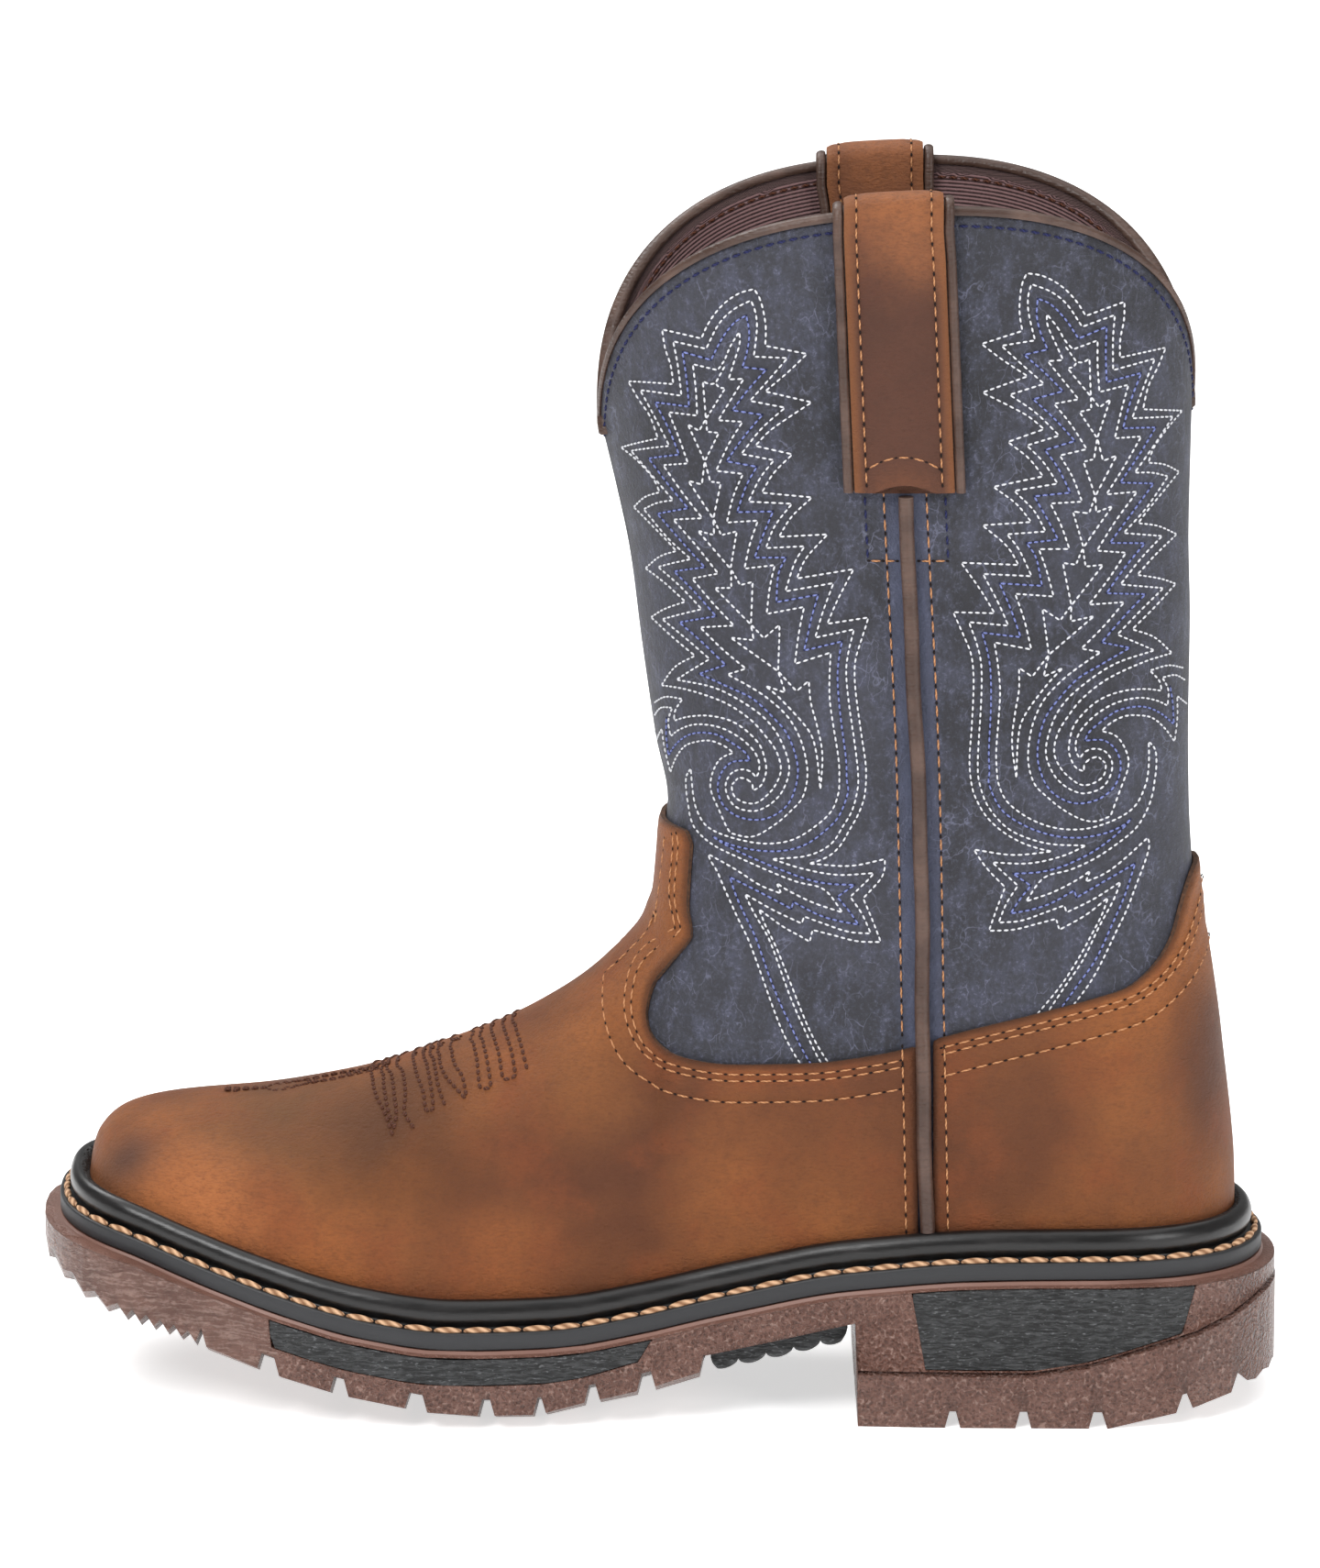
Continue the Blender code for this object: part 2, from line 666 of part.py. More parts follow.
def make_insole():
    """Board that the foot stands on, inside the upper."""
    inset = -(WALL + 4 * GAP)
    sections = []
    turn = np.linspace(0.0, math.pi, 22)
    for x in TOE_TIP + (0.5 - 0.5 * np.cos(turn)) * (HEEL_BACK - TOE_TIP):
        outer, inner = edge_point(OUTER, x, inset), edge_point(INNER, x, inset)
        low = [sole_top(p[0]) + GAP for p in (outer, inner)]
        high = [z + INSOLE_THICKNESS for z in low]
        sections.append([(*outer, low[0]), (*inner, low[1]), (*inner, high[1]), (*outer, high[0])])
    return Solid().loft([section[::-1] for section in sections], capped=False)


def make_collar_binding():
    """Rolled binding that sits on the rim of the shaft."""
    face, lining = (upper_grid(UPPER_LEVELS, offset)[-1] for offset in (0.0, -WALL))
    middle = (face + lining) / 2
    out = (face - lining) / WALL
    up = np.cross(out, np.roll(middle, -1, 0) - np.roll(middle, 1, 0))
    up /= np.linalg.norm(up, axis=1)[:, None]
    reach = WALL / 2 + BINDING_OVERHANG
    profile = ((1.0, 0.0), (1.0, 0.6), (0.6, 1.0), (-0.6, 1.0), (-1.0, 0.6), (-1.0, 0.0))
    sections = []
    for i, point in enumerate(middle):
        lift = [BINDING_LIFT + BINDING_HEIGHT * height for _, height in profile]
        sections.append([point + out[i] * reach * p[0] + up[i] * rise for p, rise in zip(profile, lift)])
    return Solid().loft(sections, closed_path=True)


def seam_x(side, z):
    return float(seam_line(z) - (RIM_SKEW * ease(z, 150.0, 300.0) if side == INNER else 0.0))


def make_piping(side):
    """Round piping over the side seam, from the welt's bead to the pull strap."""
    sections = []
    lift = PIPING_RADIUS + GAP + 0.1
    for z in np.linspace(PIPING_FOOT, PIPING_TOP, 15):
        point, normal = wall_point(side, seam_x(side, z), z)
        along = np.array([(seam_x(side, z + 1) - seam_x(side, z - 1)) / 2, 0, 1.0])
        along -= normal * (along @ normal)
        along /= np.linalg.norm(along)
        across = np.cross(along, normal)
        centre = point + normal * (lift + extra_lift(z))
        turns = np.arange(TUBE_SIDES) * 2 * math.pi / TUBE_SIDES
        spokes = [math.cos(a) * across + math.sin(a) * normal for a in turns]
        sections.append([centre + PIPING_RADIUS * spoke for spoke in spokes])
    return Solid().loft(sections)


def extra_lift(z):
    """The piping climbs outwards at its foot, over the bead of the welt's own height."""
    return 0.4 * (1 - ease(z, PIPING_FOOT, PIPING_FOOT + 12.0))


def strap_path(side, across):
    """Line of a pull strap's underside at a distance across its width: points and outward normals."""
    top_level = len(RINGS) - 1.0
    path = []
    for z in np.linspace(STRAP_BOTTOM, 288.0, 4):
        point, normal = wall_point(side, seam_x(side, z) + across, z)
        path.append((point + normal * GAP, normal))
    out = np.array([0, SIDE_SIGN[side], 0.0])
    up = np.array([0, 0, 1.0])
    x = seam_x(side, 298.0) + across
    rim_z, centre, half = ring_section(top_level, np.array([x + skew(side, top_level)]))
    rim = np.array([x, centre[0] + SIDE_SIGN[side] * half[0], rim_z[0] + BINDING_LIFT + BINDING_HEIGHT])
    middle = rim - out * WALL / 2
    reach = WALL / 2 + BINDING_OVERHANG + 2 * GAP
    below = -BINDING_HEIGHT - 2.0
    bends = ((1.0, below, 0), (1.0, -1.0, 0), (0.72, 0.5, 45), (0.0, STRAP_LOOP, 90))
    bends += tuple((-share, rise, 180 - degrees) for share, rise, degrees in bends[-2::-1])
    for share, rise, degrees in bends:
        a = math.radians(degrees)
        path.append((middle + out * reach * share + up * rise, out * math.cos(a) + up * math.sin(a)))
    for z in np.linspace(288.0, STRAP_INSIDE_BOTTOM, 3):
        point, normal = wall_point(side, seam_x(side, z) + across, z)
        path.append((point - normal * (WALL + BINDING_OVERHANG), -normal))
    return path


def sweep_strap(side, profile):
    """Strip over the collar: profile points are across, and height above the strip's underside."""
    paths = {across: strap_path(side, across) for across in {p[0] for p in profile}}
    sections = []
    for i in range(len(paths[profile[0][0]])):
        sections.append([paths[across][i][0] + paths[across][i][1] * height for across, height in profile])
    if side == INNER:
        sections = [section[::-1] for section in sections]
    return Solid().loft(sections)


def make_strap(side):
    low = EDGING_WEB + GAP
    high = low + STRAP_THICKNESS
    half, shoulder = STRAP_HALF, STRAP_HALF - 0.9
    across = (0.0,)
    left = ((-half, low), (-half, high - 0.4), (-shoulder, high))
    right = tuple((-x, height) for x, height in reversed(left))
    profile = left + tuple((x, high) for x in across) + right + tuple((x, low) for x in across[::-1])
    return sweep_strap(side, profile)


def make_edging(side):
    """Backing strip under a pull strap, with a rolled bead along both edges."""
    inner = EDGING_HALF - EDGING_BEAD + GAP
    middle = EDGING_HALF - EDGING_BEAD / 2
    across = (0.0,)
    bead = ((inner, 2.4), (middle, 3.1), (EDGING_HALF, 2.1), (EDGING_HALF, 0.5))
    right = ((inner, EDGING_WEB), *bead, (middle, 0.0))
    left = tuple((-x, height) for x, height in reversed(right))
    profile = left + tuple((x, EDGING_WEB) for x in across) + right + tuple((x, 0.0) for x in across[::-1])
    return sweep_strap(side, profile)


def make_finish(name):
    colour, roughness = FINISHES[name]
    material = bpy.data.materials.new(name)
    material.use_nodes = True
    shader = material.node_tree.nodes["Principled BSDF"]
    shader.inputs["Base Color"].default_value = (*colour, 1.0)
    shader.inputs["Roughness"].default_value = roughness
    shader.inputs["Metallic"].default_value = 0.0
    return material


def make_object(name, solid, origin, material=None):
    """Blender object of a solid, in metres, with its origin at the middle of the boot's footprint."""
    mesh = bpy.data.meshes.new(name)
    points = (np.array(solid.points) - origin) * MM
    mesh.from_pydata(points.tolist(), [], solid.faces)
    work = bmesh.new()
    work.from_mesh(mesh)
    bmesh.ops.remove_doubles(work, verts=work.verts, dist=1e-6)
    bmesh.ops.recalc_face_normals(work, faces=work.faces)
    work.to_mesh(mesh)
    work.free()
    mesh.shade_smooth()
    mesh.set_sharp_from_angle(angle=math.radians(35))
    obj = bpy.data.objects.new(name, mesh)
    bpy.context.scene.collection.objects.link(obj)
    if material is None:
        obj.hide_render = True
        obj.display_type = "WIRE"
    else:
        mesh.materials.append(material)
    return obj


def main():
    for obj in list(bpy.data.objects):
        bpy.data.objects.remove(obj)

    pieces = {
        "outsole": (make_outsole(), "brown_rubber"),
        "waist_grip": (make_waist_grip(), "black_rubber"),
        "welt": (make_welt(), "black_welt"),
        "insole": (make_insole(), "insole_board"),
        "upper": (make_upper(), "blue_leather"),
        "collar_binding": (make_collar_binding(), "brown_piping"),
    }
    for side, word in ((OUTER, "outer"), (INNER, "inner")):
        pieces[f"forefoot_insert_{word}"] = (make_insert(side, FOREFOOT_INSERT), "black_rubber")
        pieces[f"heel_insert_{word}"] = (make_insert(side, HEEL_INSERT), "black_rubber")
        pieces[f"seam_piping_{word}"] = (make_piping(side), "brown_piping")
        pieces[f"pull_strap_{word}"] = (make_strap(side), "tan_leather")
        pieces[f"strap_edging_{word}"] = (make_edging(side), "brown_piping")

    corners = np.concatenate([np.array(solid.points) for solid, _ in pieces.values()])
    low, high = corners.min(0), corners.max(0)
    origin = np.array([(low[0] + high[0]) / 2, (low[1] + high[1]) / 2, low[2]])
    finishes = {name: make_finish(name) for name in FINISHES}
    for name, (solid, finish) in pieces.items():
        make_object(name, solid, origin, finishes[finish])

    for name, outline in (("vamp", vamp_outline()), ("counter", counter_outline())):
        panel = make_object(name, make_overlay_shell(), origin, finishes["tan_leather"])
        cutter = make_object(f"{name}_outline", make_prism(outline), origin)
        cut = panel.modifiers.new("panel_outline", "BOOLEAN")
        cut.operation = "INTERSECT"
        cut.object = cutter


main()
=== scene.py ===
"""Studio scene of one left western boot: tan foot, navy shaft with flame stitching, lugged brown sole.

The CAD frame gives the solids. This script dresses them: it rebuilds the leather on the same last at a finer
mesh, sews every visible row of stitches, and gives each piece a procedural finish. Sizes are millimetres on
the last, whose toe points to -X and whose outer side faces -Y, and become metres where a mesh is made.
"""

from __future__ import annotations

import logging
import math
from dataclasses import dataclass, field
from enum import Enum
from typing import Any, Sequence

import bmesh
import bpy
import numpy as np
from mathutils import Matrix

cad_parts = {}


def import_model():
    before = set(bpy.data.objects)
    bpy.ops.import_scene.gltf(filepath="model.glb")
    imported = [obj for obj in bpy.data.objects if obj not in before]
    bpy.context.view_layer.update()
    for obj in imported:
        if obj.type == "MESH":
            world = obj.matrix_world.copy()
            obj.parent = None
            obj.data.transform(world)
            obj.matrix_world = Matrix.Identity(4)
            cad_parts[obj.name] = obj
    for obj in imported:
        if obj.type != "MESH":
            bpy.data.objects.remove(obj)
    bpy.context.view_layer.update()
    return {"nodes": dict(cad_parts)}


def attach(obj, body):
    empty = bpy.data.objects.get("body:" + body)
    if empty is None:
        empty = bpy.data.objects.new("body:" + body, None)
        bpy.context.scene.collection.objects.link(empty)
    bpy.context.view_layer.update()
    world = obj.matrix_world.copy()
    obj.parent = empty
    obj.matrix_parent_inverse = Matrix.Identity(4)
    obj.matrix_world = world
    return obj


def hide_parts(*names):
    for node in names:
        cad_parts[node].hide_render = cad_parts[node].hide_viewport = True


LOG = logging.getLogger("boot")
MM = 0.001
ORIGIN = np.array([-0.05, 9.0, 0.0])
BODY = "root"

Array = np.ndarray
Rows = Sequence[Sequence[float]]
Faces = list[tuple[int, ...]]
Skin = tuple[Array, Faces]
Colour = tuple[float, float, float]
Material = bpy.types.Material


class Side(Enum):
    """Outer (little-toe) or inner side of the boot, as the sign of y."""

    OUTER = -1
    INNER = 1

    @property
    def word(self) -> str:
        """The side as it stands in the names of pieces."""
        return self.name.lower()


def ease(x: Any, start: Any, end: Any) -> Array:
    """Smooth step from 0 at start to 1 at end."""
    t = np.clip((np.asarray(x, float) - start) / (end - start), 0, 1)
    return t * t * (3 - 2 * t)


def bump_at(x: Any, middle: float, width: float) -> Array:
    """Bell of height 1 round a middle."""
    return np.exp(-(((x - middle) / width) ** 2))


def bunched(count: int, trim: float = 0.0) -> Array:
    """Shares from 0 to 1 that crowd at both ends."""
    return 0.5 - 0.5 * np.cos(np.linspace(trim, math.pi - trim, count))


def unit(vectors: Array) -> Array:
    """Vectors brought to length 1."""
    return vectors / np.linalg.norm(vectors, axis=-1)[..., None]


def chords(loop: Array, axis: int = 0) -> Array:
    """Steps from the point before to the point after, round a closed line."""
    return np.roll(loop, -1, axis) - np.roll(loop, 1, axis)


class Curve:
    """Monotone cubic through points, carried on as a straight line past both ends."""

    def __init__(self, xs: Sequence[float], ys: Sequence[float]) -> None:
        """Fit the curve.

        Args:
            xs: Rising places along the curve.
            ys: Value at each place.
        """
        self.xs, self.ys = np.array(xs, float), np.array(ys, float)
        self.step = np.diff(self.xs)
        slope = np.diff(self.ys) / self.step
        self.tangent = np.concatenate([slope[:1], np.zeros(len(slope) - 1), slope[-1:]])
        for i in range(1, len(slope)):
            if slope[i - 1] * slope[i] > 0:
                near = 2 * self.step[i] + self.step[i - 1]
                far = self.step[i] + 2 * self.step[i - 1]
                self.tangent[i] = (near + far) / (near / slope[i - 1] + far / slope[i])

    def __call__(self, x: Any) -> Array:
        """Read the curve.

        Args:
            x: Places to read.

        Returns:
            The value at each place.
        """
        x = np.asarray(x, float)
        inside = np.clip(x, self.xs[0], self.xs[-1])
        k = np.clip(np.searchsorted(self.xs, inside) - 1, 0, len(self.step) - 1)
        step = self.step[k]
        t = (inside - self.xs[k]) / step
        value = (
            (1 + 2 * t) * (1 - t) ** 2 * self.ys[k]
            + t * (1 - t) ** 2 * step * self.tangent[k]
            + t * t * (3 - 2 * t) * self.ys[k + 1]
            - t * t * (1 - t) * step * self.tangent[k + 1]
        )
        return value + np.where(x > inside, self.tangent[-1], self.tangent[0]) * (x - inside)


def table_curve(table: Rows, index: int = 1) -> Curve:
    """Curve of one column of a table over its first column."""
    return Curve([row[0] for row in table], [row[index] for row in table])


def travel(points: Array) -> Array:
    """Distance along a line of points, from its start to each point."""
    return np.concatenate([[0.0], np.cumsum(np.linalg.norm(np.diff(points, axis=0), axis=1))])


def resample(points: Array, want: Array, values: Array | None = None) -> Array:
    """Points of a line, or values carried along it, at the wanted distances from its start."""
    along, columns = travel(points), (points if values is None else values).T
    return np.stack([np.interp(want, along, column) for column in columns], 1)


def curve_through(points: Any, steps: int) -> Array:
    """Smooth line of some steps through given points."""
    placed, along = np.array(points, float), travel(np.array(points, float))
    return np.stack([Curve(along, column)(np.linspace(0, along[-1], steps)) for column in placed.T], 1)


@dataclass(frozen=True)
class Crease:
    """Soft trough or ridge in the leather: middle, half-length, half-width, depth and tilt, side view."""

    x: float
    z: float
    length: float
    width: float
    depth: float
    degrees: float
    side: Side = Side.OUTER

    def height(self, points: Array, normals: Array) -> Array:
        """Height of the crease on the leather.

        Args:
            points: Points of the leather's face.
            normals: Outward normals there.

        Returns:
            The height at each point.
        """
        turn = math.radians(self.degrees)
        dx, dz = points[..., 0] - self.x, points[..., 2] - self.z
        along = (dx * math.cos(turn) + dz * math.sin(turn)) / self.length
        across = (dz * math.cos(turn) - dx * math.sin(turn)) / self.width
        facing = ease(normals[..., 1] * self.side.value, 0.0, 0.5)
        return self.depth * np.exp(-(along**2) - across**2) * facing


CREASES = (
    Crease(14.0, 118.0, 26.0, 6.0, -0.9, 12.0),
    Crease(20.0, 131.0, 24.0, 5.0, 0.5, 8.0),
    Crease(108.0, 122.0, 22.0, 6.0, -0.8, -14.0),
    Crease(112.0, 140.0, 20.0, 7.0, 0.5, -6.0),
    Crease(-58.0, 58.0, 20.0, 5.0, -0.7, 62.0),
    Crease(-44.0, 64.0, 22.0, 6.0, -0.6, 58.0),
    Crease(100.0, 214.0, 26.0, 9.0, -0.7, 24.0),
    Crease(4.0, 206.0, 20.0, 8.0, -0.8, -30.0),
    Crease(30.0, 172.0, 30.0, 9.0, 0.5, 72.0),
    Crease(18.0, 122.0, 26.0, 6.0, -0.9, 10.0, Side.INNER),
    Crease(106.0, 126.0, 24.0, 6.0, -0.8, -12.0, Side.INNER),
    Crease(-52.0, 60.0, 24.0, 5.0, -0.8, 58.0, Side.INNER),
    Crease(96.0, 205.0, 26.0, 9.0, -0.6, 20.0, Side.INNER),
)


@dataclass
class Last:
    """The form that the leather is drawn over: feather line, seat, rings of the upper and side seam."""

    wall: float = 2.4
    overlay: float = 1.7
    gap: float = 0.3
    seat_gap: float = 0.7
    rim_rise: float = 55.0
    rim_fullness: float = 2.5
    rim_round: float = 0.42
    leg_squareness: float = 2.3
    rim_skew: float = 2.6
    skew_start: float = 150.0
    skew_end: float = 300.0
    toe_tip: float = -139.5
    toe_squareness: float = 2.6
    heel_back: float = 140.0
    heel_roundness: float = 2.1
    heel_lean_x: float = 60.0
    throat_ring: int = 11
    ridge_climb: float = 12.0
    swell_start: float = 7.0
    swell_span: float = 80.0
    samples: int = 401
    even_share: float = 0.6
    halvings: int = 20
    probe: float = 0.8
    # x, outer edge y, inner edge y of the feather line
    plan: Rows = (
        (-126.0, -16.5, 41.0), (-118.0, -20.0, 44.0), (-100.0, -27.5, 50.5), (-80.0, -33.5, 54.5),
        (-60.0, -36.0, 54.5), (-40.0, -35.5, 49.0), (-15.0, -33.0, 39.5), (10.0, -30.0, 31.5),
        (35.0, -29.5, 29.5), (60.0, -31.0, 31.0), (85.0, -32.0, 32.0), (106.0, -32.0, 32.0),
    )
    # x and height of the outsole's top
    sole_line: Rows = (
        (-149.0, 43.0), (-132.0, 39.6), (-116.0, 34.5), (-93.0, 27.7), (-71.0, 22.5), (-49.0, 19.9),
        (-26.0, 20.2), (-4.0, 23.2), (18.0, 27.9), (47.0, 33.5), (83.0, 36.5), (110.0, 36.7), (149.0, 35.7),
    )
    # front x and z, back x and z, share of the sag, share of the rim, half-width and share of the leg
    rings: Rows = (
        (-139.5, 42.6, 140.0, 36.9, 1.00, 0.00, 34.0, 0.00),
        (-139.2, 51.2, 140.2, 49.0, 0.92, 0.00, 34.0, 0.00),
        (-136.6, 60.6, 139.9, 59.0, 0.80, 0.00, 34.0, 0.00),
        (-129.8, 65.5, 139.3, 66.0, 0.68, 0.00, 34.0, 0.00),
        (-119.7, 67.8, 138.7, 71.5, 0.60, 0.00, 34.0, 0.00),
        (-97.0, 69.8, 137.9, 78.0, 0.50, 0.00, 34.0, 0.00),
        (-74.0, 74.3, 136.9, 86.0, 0.42, 0.00, 34.0, 0.02),
        (-51.0, 82.5, 135.8, 95.0, 0.33, 0.00, 34.0, 0.08),
        (-28.0, 93.8, 134.3, 105.0, 0.22, 0.00, 34.3, 0.24),
        (-7.6, 110.5, 132.6, 116.0, 0.10, 0.01, 34.8, 0.52),
        (0.0, 124.0, 131.2, 127.0, 0.04, 0.03, 35.4, 0.80),
        (2.2, 147.0, 129.7, 148.0, 0.00, 0.12, 36.8, 1.00),
        (-0.8, 164.0, 129.3, 168.0, 0.00, 0.28, 38.2, 1.00),
        (-4.1, 186.9, 129.4, 190.0, 0.00, 0.48, 39.6, 1.00),
        (-7.0, 209.7, 128.8, 212.0, 0.00, 0.70, 40.8, 1.00),
        (-10.6, 227.0, 129.0, 231.0, 0.00, 0.87, 41.5, 1.00),
        (-13.2, 238.0, 129.2, 244.5, 0.00, 1.00, 42.0, 1.00),
    )
    # x, roundness of the arch over the foot, swell of the sides
    sections: Rows = (
        (-139.5, 3.0, 0.00), (-110.0, 2.9, 0.00), (-75.0, 2.5, 0.01), (-40.0, 2.2, 0.04),
        (0.0, 2.1, 0.08), (40.0, 2.2, 0.09), (90.0, 2.4, 0.07), (140.0, 2.6, 0.03),
    )
    # z and x of the side seam
    seam: Rows = ((46.0, 65.5), (94.0, 64.2), (161.0, 62.4), (230.0, 58.8), (300.0, 55.5))

    def __post_init__(self) -> None:
        """Fit the curves that every piece reads."""
        self.sole_top, self.seam_line = table_curve(self.sole_line), table_curve(self.seam)
        self.outer_plan, self.inner_plan = table_curve(self.plan, 1), table_curve(self.plan, 2)
        self.roundness, self.swell = table_curve(self.sections, 1), table_curve(self.sections, 2)
        self.foot_ridge = table_curve(self.rings[: self.throat_ring + 1], 1)
        self.ring_curves = [Curve(range(len(self.rings)), column) for column in zip(*self.rings)]
        self.front_x, self.back_x, self.rim_share = (self.ring_curves[i] for i in (0, 2, 5))
        self.top_level = len(self.rings) - 1.0
        self.lift = self.gap + self.overlay
        self.outline = self.make_outline()

    def seat(self, x: Any) -> Array:
        """Height that the upper stands on at x."""
        return self.sole_top(x) + self.seat_gap

    def feather(self, x: Any) -> tuple[Array, Array]:
        """Feather line, closed by a squared toe and a round heel.

        Args:
            x: Places along the boot.

        Returns:
            y of its outer and of its inner edge.
        """
        toe_x, heel_x = self.plan[0][0], self.plan[-1][0]
        outer, inner = self.outer_plan(x), self.inner_plan(x)
        toe = np.clip((toe_x - x) / (toe_x - self.toe_tip), 0, 1)
        heel = np.clip((x - heel_x) / (self.heel_back - heel_x), 0, 1)
        shrink = (1 - toe**self.toe_squareness) ** (1 / self.toe_squareness)
        shrink = shrink * (1 - heel**self.heel_roundness) ** (1 / self.heel_roundness)
        centre, half = (outer + inner) / 2, (inner - outer) / 2 * shrink
        return centre - half, centre + half

    def make_outline(self) -> dict[Side, tuple[Array, Array]]:
        """Feather line as two dense runs from toe to heel.

        Returns:
            Points and outward normals of each side.
        """
        x = self.toe_tip + bunched(self.samples) * (self.heel_back - self.toe_tip)
        outer, inner = self.feather(x)
        loop = np.concatenate([np.stack([x, outer], 1), np.stack([x, inner], 1)[-2:0:-1]])
        along = chords(loop)
        normal = unit(np.stack([along[:, 1], -along[:, 0]], 1))
        back = self.samples
        order = np.concatenate([[0], np.arange(len(loop) - 1, back - 2, -1)])
        return {Side.OUTER: (loop[:back], normal[:back]), Side.INNER: (loop[order], normal[order])}

    def edge_point(self, side: Side, x: float, offset: float) -> tuple[float, float]:
        """Plan point outside the feather line, opposite a station.

        Args:
            side: Side of the boot.
            x: Station.
            offset: How far outside the line.

        Returns:
            x and y of the point.
        """
        points, normals = self.outline[side]
        y, nx, ny = (np.interp(x, points[:, 0], v) for v in (points[:, 1], normals[:, 0], normals[:, 1]))
        length = math.hypot(nx, ny)
        return x + nx / length * offset, y + ny / length * offset

    def ridge(self, x: Any) -> Array:
        """Height of the foot's ridge; behind the throat it climbs away, because the leg has no ridge.

        Args:
            x: Places along the boot.

        Returns:
            The height at each place.
        """
        throat_x = self.rings[self.throat_ring][0]
        climb = self.ridge_climb * np.clip(x - throat_x, 0, None)
        return self.foot_ridge(np.clip(x, self.toe_tip, throat_x)) + climb

    def ring_section(self, level: Any, x: Any) -> tuple[Array, Array, Array]:
        """Side-view height, centre and half-width of a ring.

        Args:
            level: Which ring, as a number along the table.
            x: Places along the boot.

        Returns:
            Height, centre y and half-width at each place.
        """
        front_x, front_z, back_x, back_z, sag, rim, leg, leg_share = (c(level) for c in self.ring_curves)
        front_z = np.where(np.asarray(level) <= self.throat_ring, self.ridge(front_x), front_z)
        share = np.clip((x - front_x) / (back_x - front_x), 0, 1)
        across = np.abs(2 * share - 1)
        chord = self.seat(front_x) + share * (self.seat(back_x) - self.seat(front_x))
        rise = self.rim_rise * (1 - across**self.rim_fullness) ** self.rim_round
        z = front_z + share * (back_z - front_z) + sag * (self.seat(x) - chord) + rim * rise

        lean = (self.heel_back - back_x) * ease(x, self.heel_lean_x, np.max(back_x))
        outer, inner = self.feather(x + lean)
        room = np.maximum(self.ridge(x) - self.seat(x), 1e-3)
        height = np.clip((z - self.seat(x)) / room, 0, 1)
        arch = np.sqrt(1 - height ** self.roundness(x))
        lift = np.clip((z - self.seat(x) - self.swell_start) / self.swell_span, 0, 1)
        swell = 1 + self.swell(x) * np.sin(math.pi * lift) ** 2
        foot = (inner - outer) / 2 * arch * swell
        leg = leg * (1 - across**self.leg_squareness) ** (1 / self.leg_squareness)
        half = np.where((share > 0) & (share < 1), foot + leg_share * (leg - foot), 0.0)
        return z, (outer + inner) / 2 * (1 - leg_share), half

    def skew(self, side: Side, level: Any) -> Array:
        """How far the inner side of the shaft sits further forward than the outer side."""
        return self.rim_skew * self.rim_share(level) * (side is Side.INNER)

    def ring_points(self, level: float, count: int) -> Array:
        """One closed ring: front centre, outer side, back centre, inner side.

        Args:
            level: Which ring.
            count: How many points it gets.

        Returns:
            The ring's points.
        """
        front_x, back_x = self.front_x(level), self.back_x(level)
        x = front_x + bunched(self.samples) * (back_x - front_x)
        z, centre, half = self.ring_section(level, x)
        even = np.linspace(0, 1, count // 2 + 1)
        share = self.even_share * even + (1 - self.even_share) * bunched(len(even))
        runs = []
        for side in Side:
            lean = self.skew(side, level) * half / max(half)
            line = np.stack([x - lean, centre + side.value * half, z], 1)
            runs.append(resample(line, share * travel(line)[-1]))
        return np.concatenate([runs[0], runs[1][-2:0:-1]])

    def grid(self, levels: Array, count: int) -> tuple[Array, Array]:
        """Rings of the upper's outer face.

        Args:
            levels: Which rings.
            count: Points round each ring.

        Returns:
            Points and outward normals, by ring and by point.
        """
        grid = np.stack([self.ring_points(level, count) for level in levels])
        normal = unit(np.cross(chords(grid, 1), np.gradient(grid, axis=0)))
        return grid + normal * self.creases(grid, normal)[:, :, None], normal

    def creases(self, points: Array, normals: Array) -> Array:
        """Height of all creases at points of the leather's face."""
        return sum(crease.height(points, normals) for crease in CREASES)

    def depth(self, side: Side, x: Array, z: Array) -> Array:
        """y of the upper's outer face.

        Args:
            side: Side of the boot.
            x: Places along the boot.
            z: Heights of those places.

        Returns:
            y at each place.
        """
        low, high = np.zeros_like(x), np.full_like(x, self.top_level)
        for _ in range(self.halvings):
            level = (low + high) / 2
            under = self.ring_section(level, x + self.skew(side, level))[0] < z
            low, high = np.where(under, level, low), np.where(under, high, level)
        _, centre, half = self.ring_section(level, x + self.skew(side, level))
        return centre + side.value * half

    def on_face(self, side: Side, x: Any, z: Any, height: Any = 0.0) -> tuple[Array, Array]:
        """Places on the upper's outer face.

        Args:
            side: Side of the boot.
            x: Places along the boot.
            z: Heights of those places.
            height: How far above the face they lie.

        Returns:
            Points and outward normals.
        """
        x, z = np.broadcast_arrays(np.atleast_1d(np.asarray(x, float)), np.asarray(z, float))
        step = self.probe
        y, right, left, up, down = (
            self.depth(side, x + dx, z + dz)
            for dx, dz in ((0, 0), (step, 0), (-step, 0), (0, step), (0, -step))
        )
        normal = unit(np.stack([left - right, np.full_like(y, 2 * step), down - up], 1) * side.value)
        points = np.stack([x, y, z], 1)
        return points + normal * (self.creases(points, normal) + height)[:, None], normal

    def seam_x(self, side: Side, z: Any) -> Array:
        """x of the side seam at height z."""
        lean = self.rim_skew * ease(z, self.skew_start, self.skew_end)
        return self.seam_line(z) - lean * (side is Side.INNER)

    def beside_seam(self, side: Side, across: Any, z: Any, height: Any = 0.0) -> tuple[Array, Array]:
        """Points and outward normals on the face, at a distance behind the side seam and at height z."""
        return self.on_face(side, self.seam_x(side, z) + across, z, height)


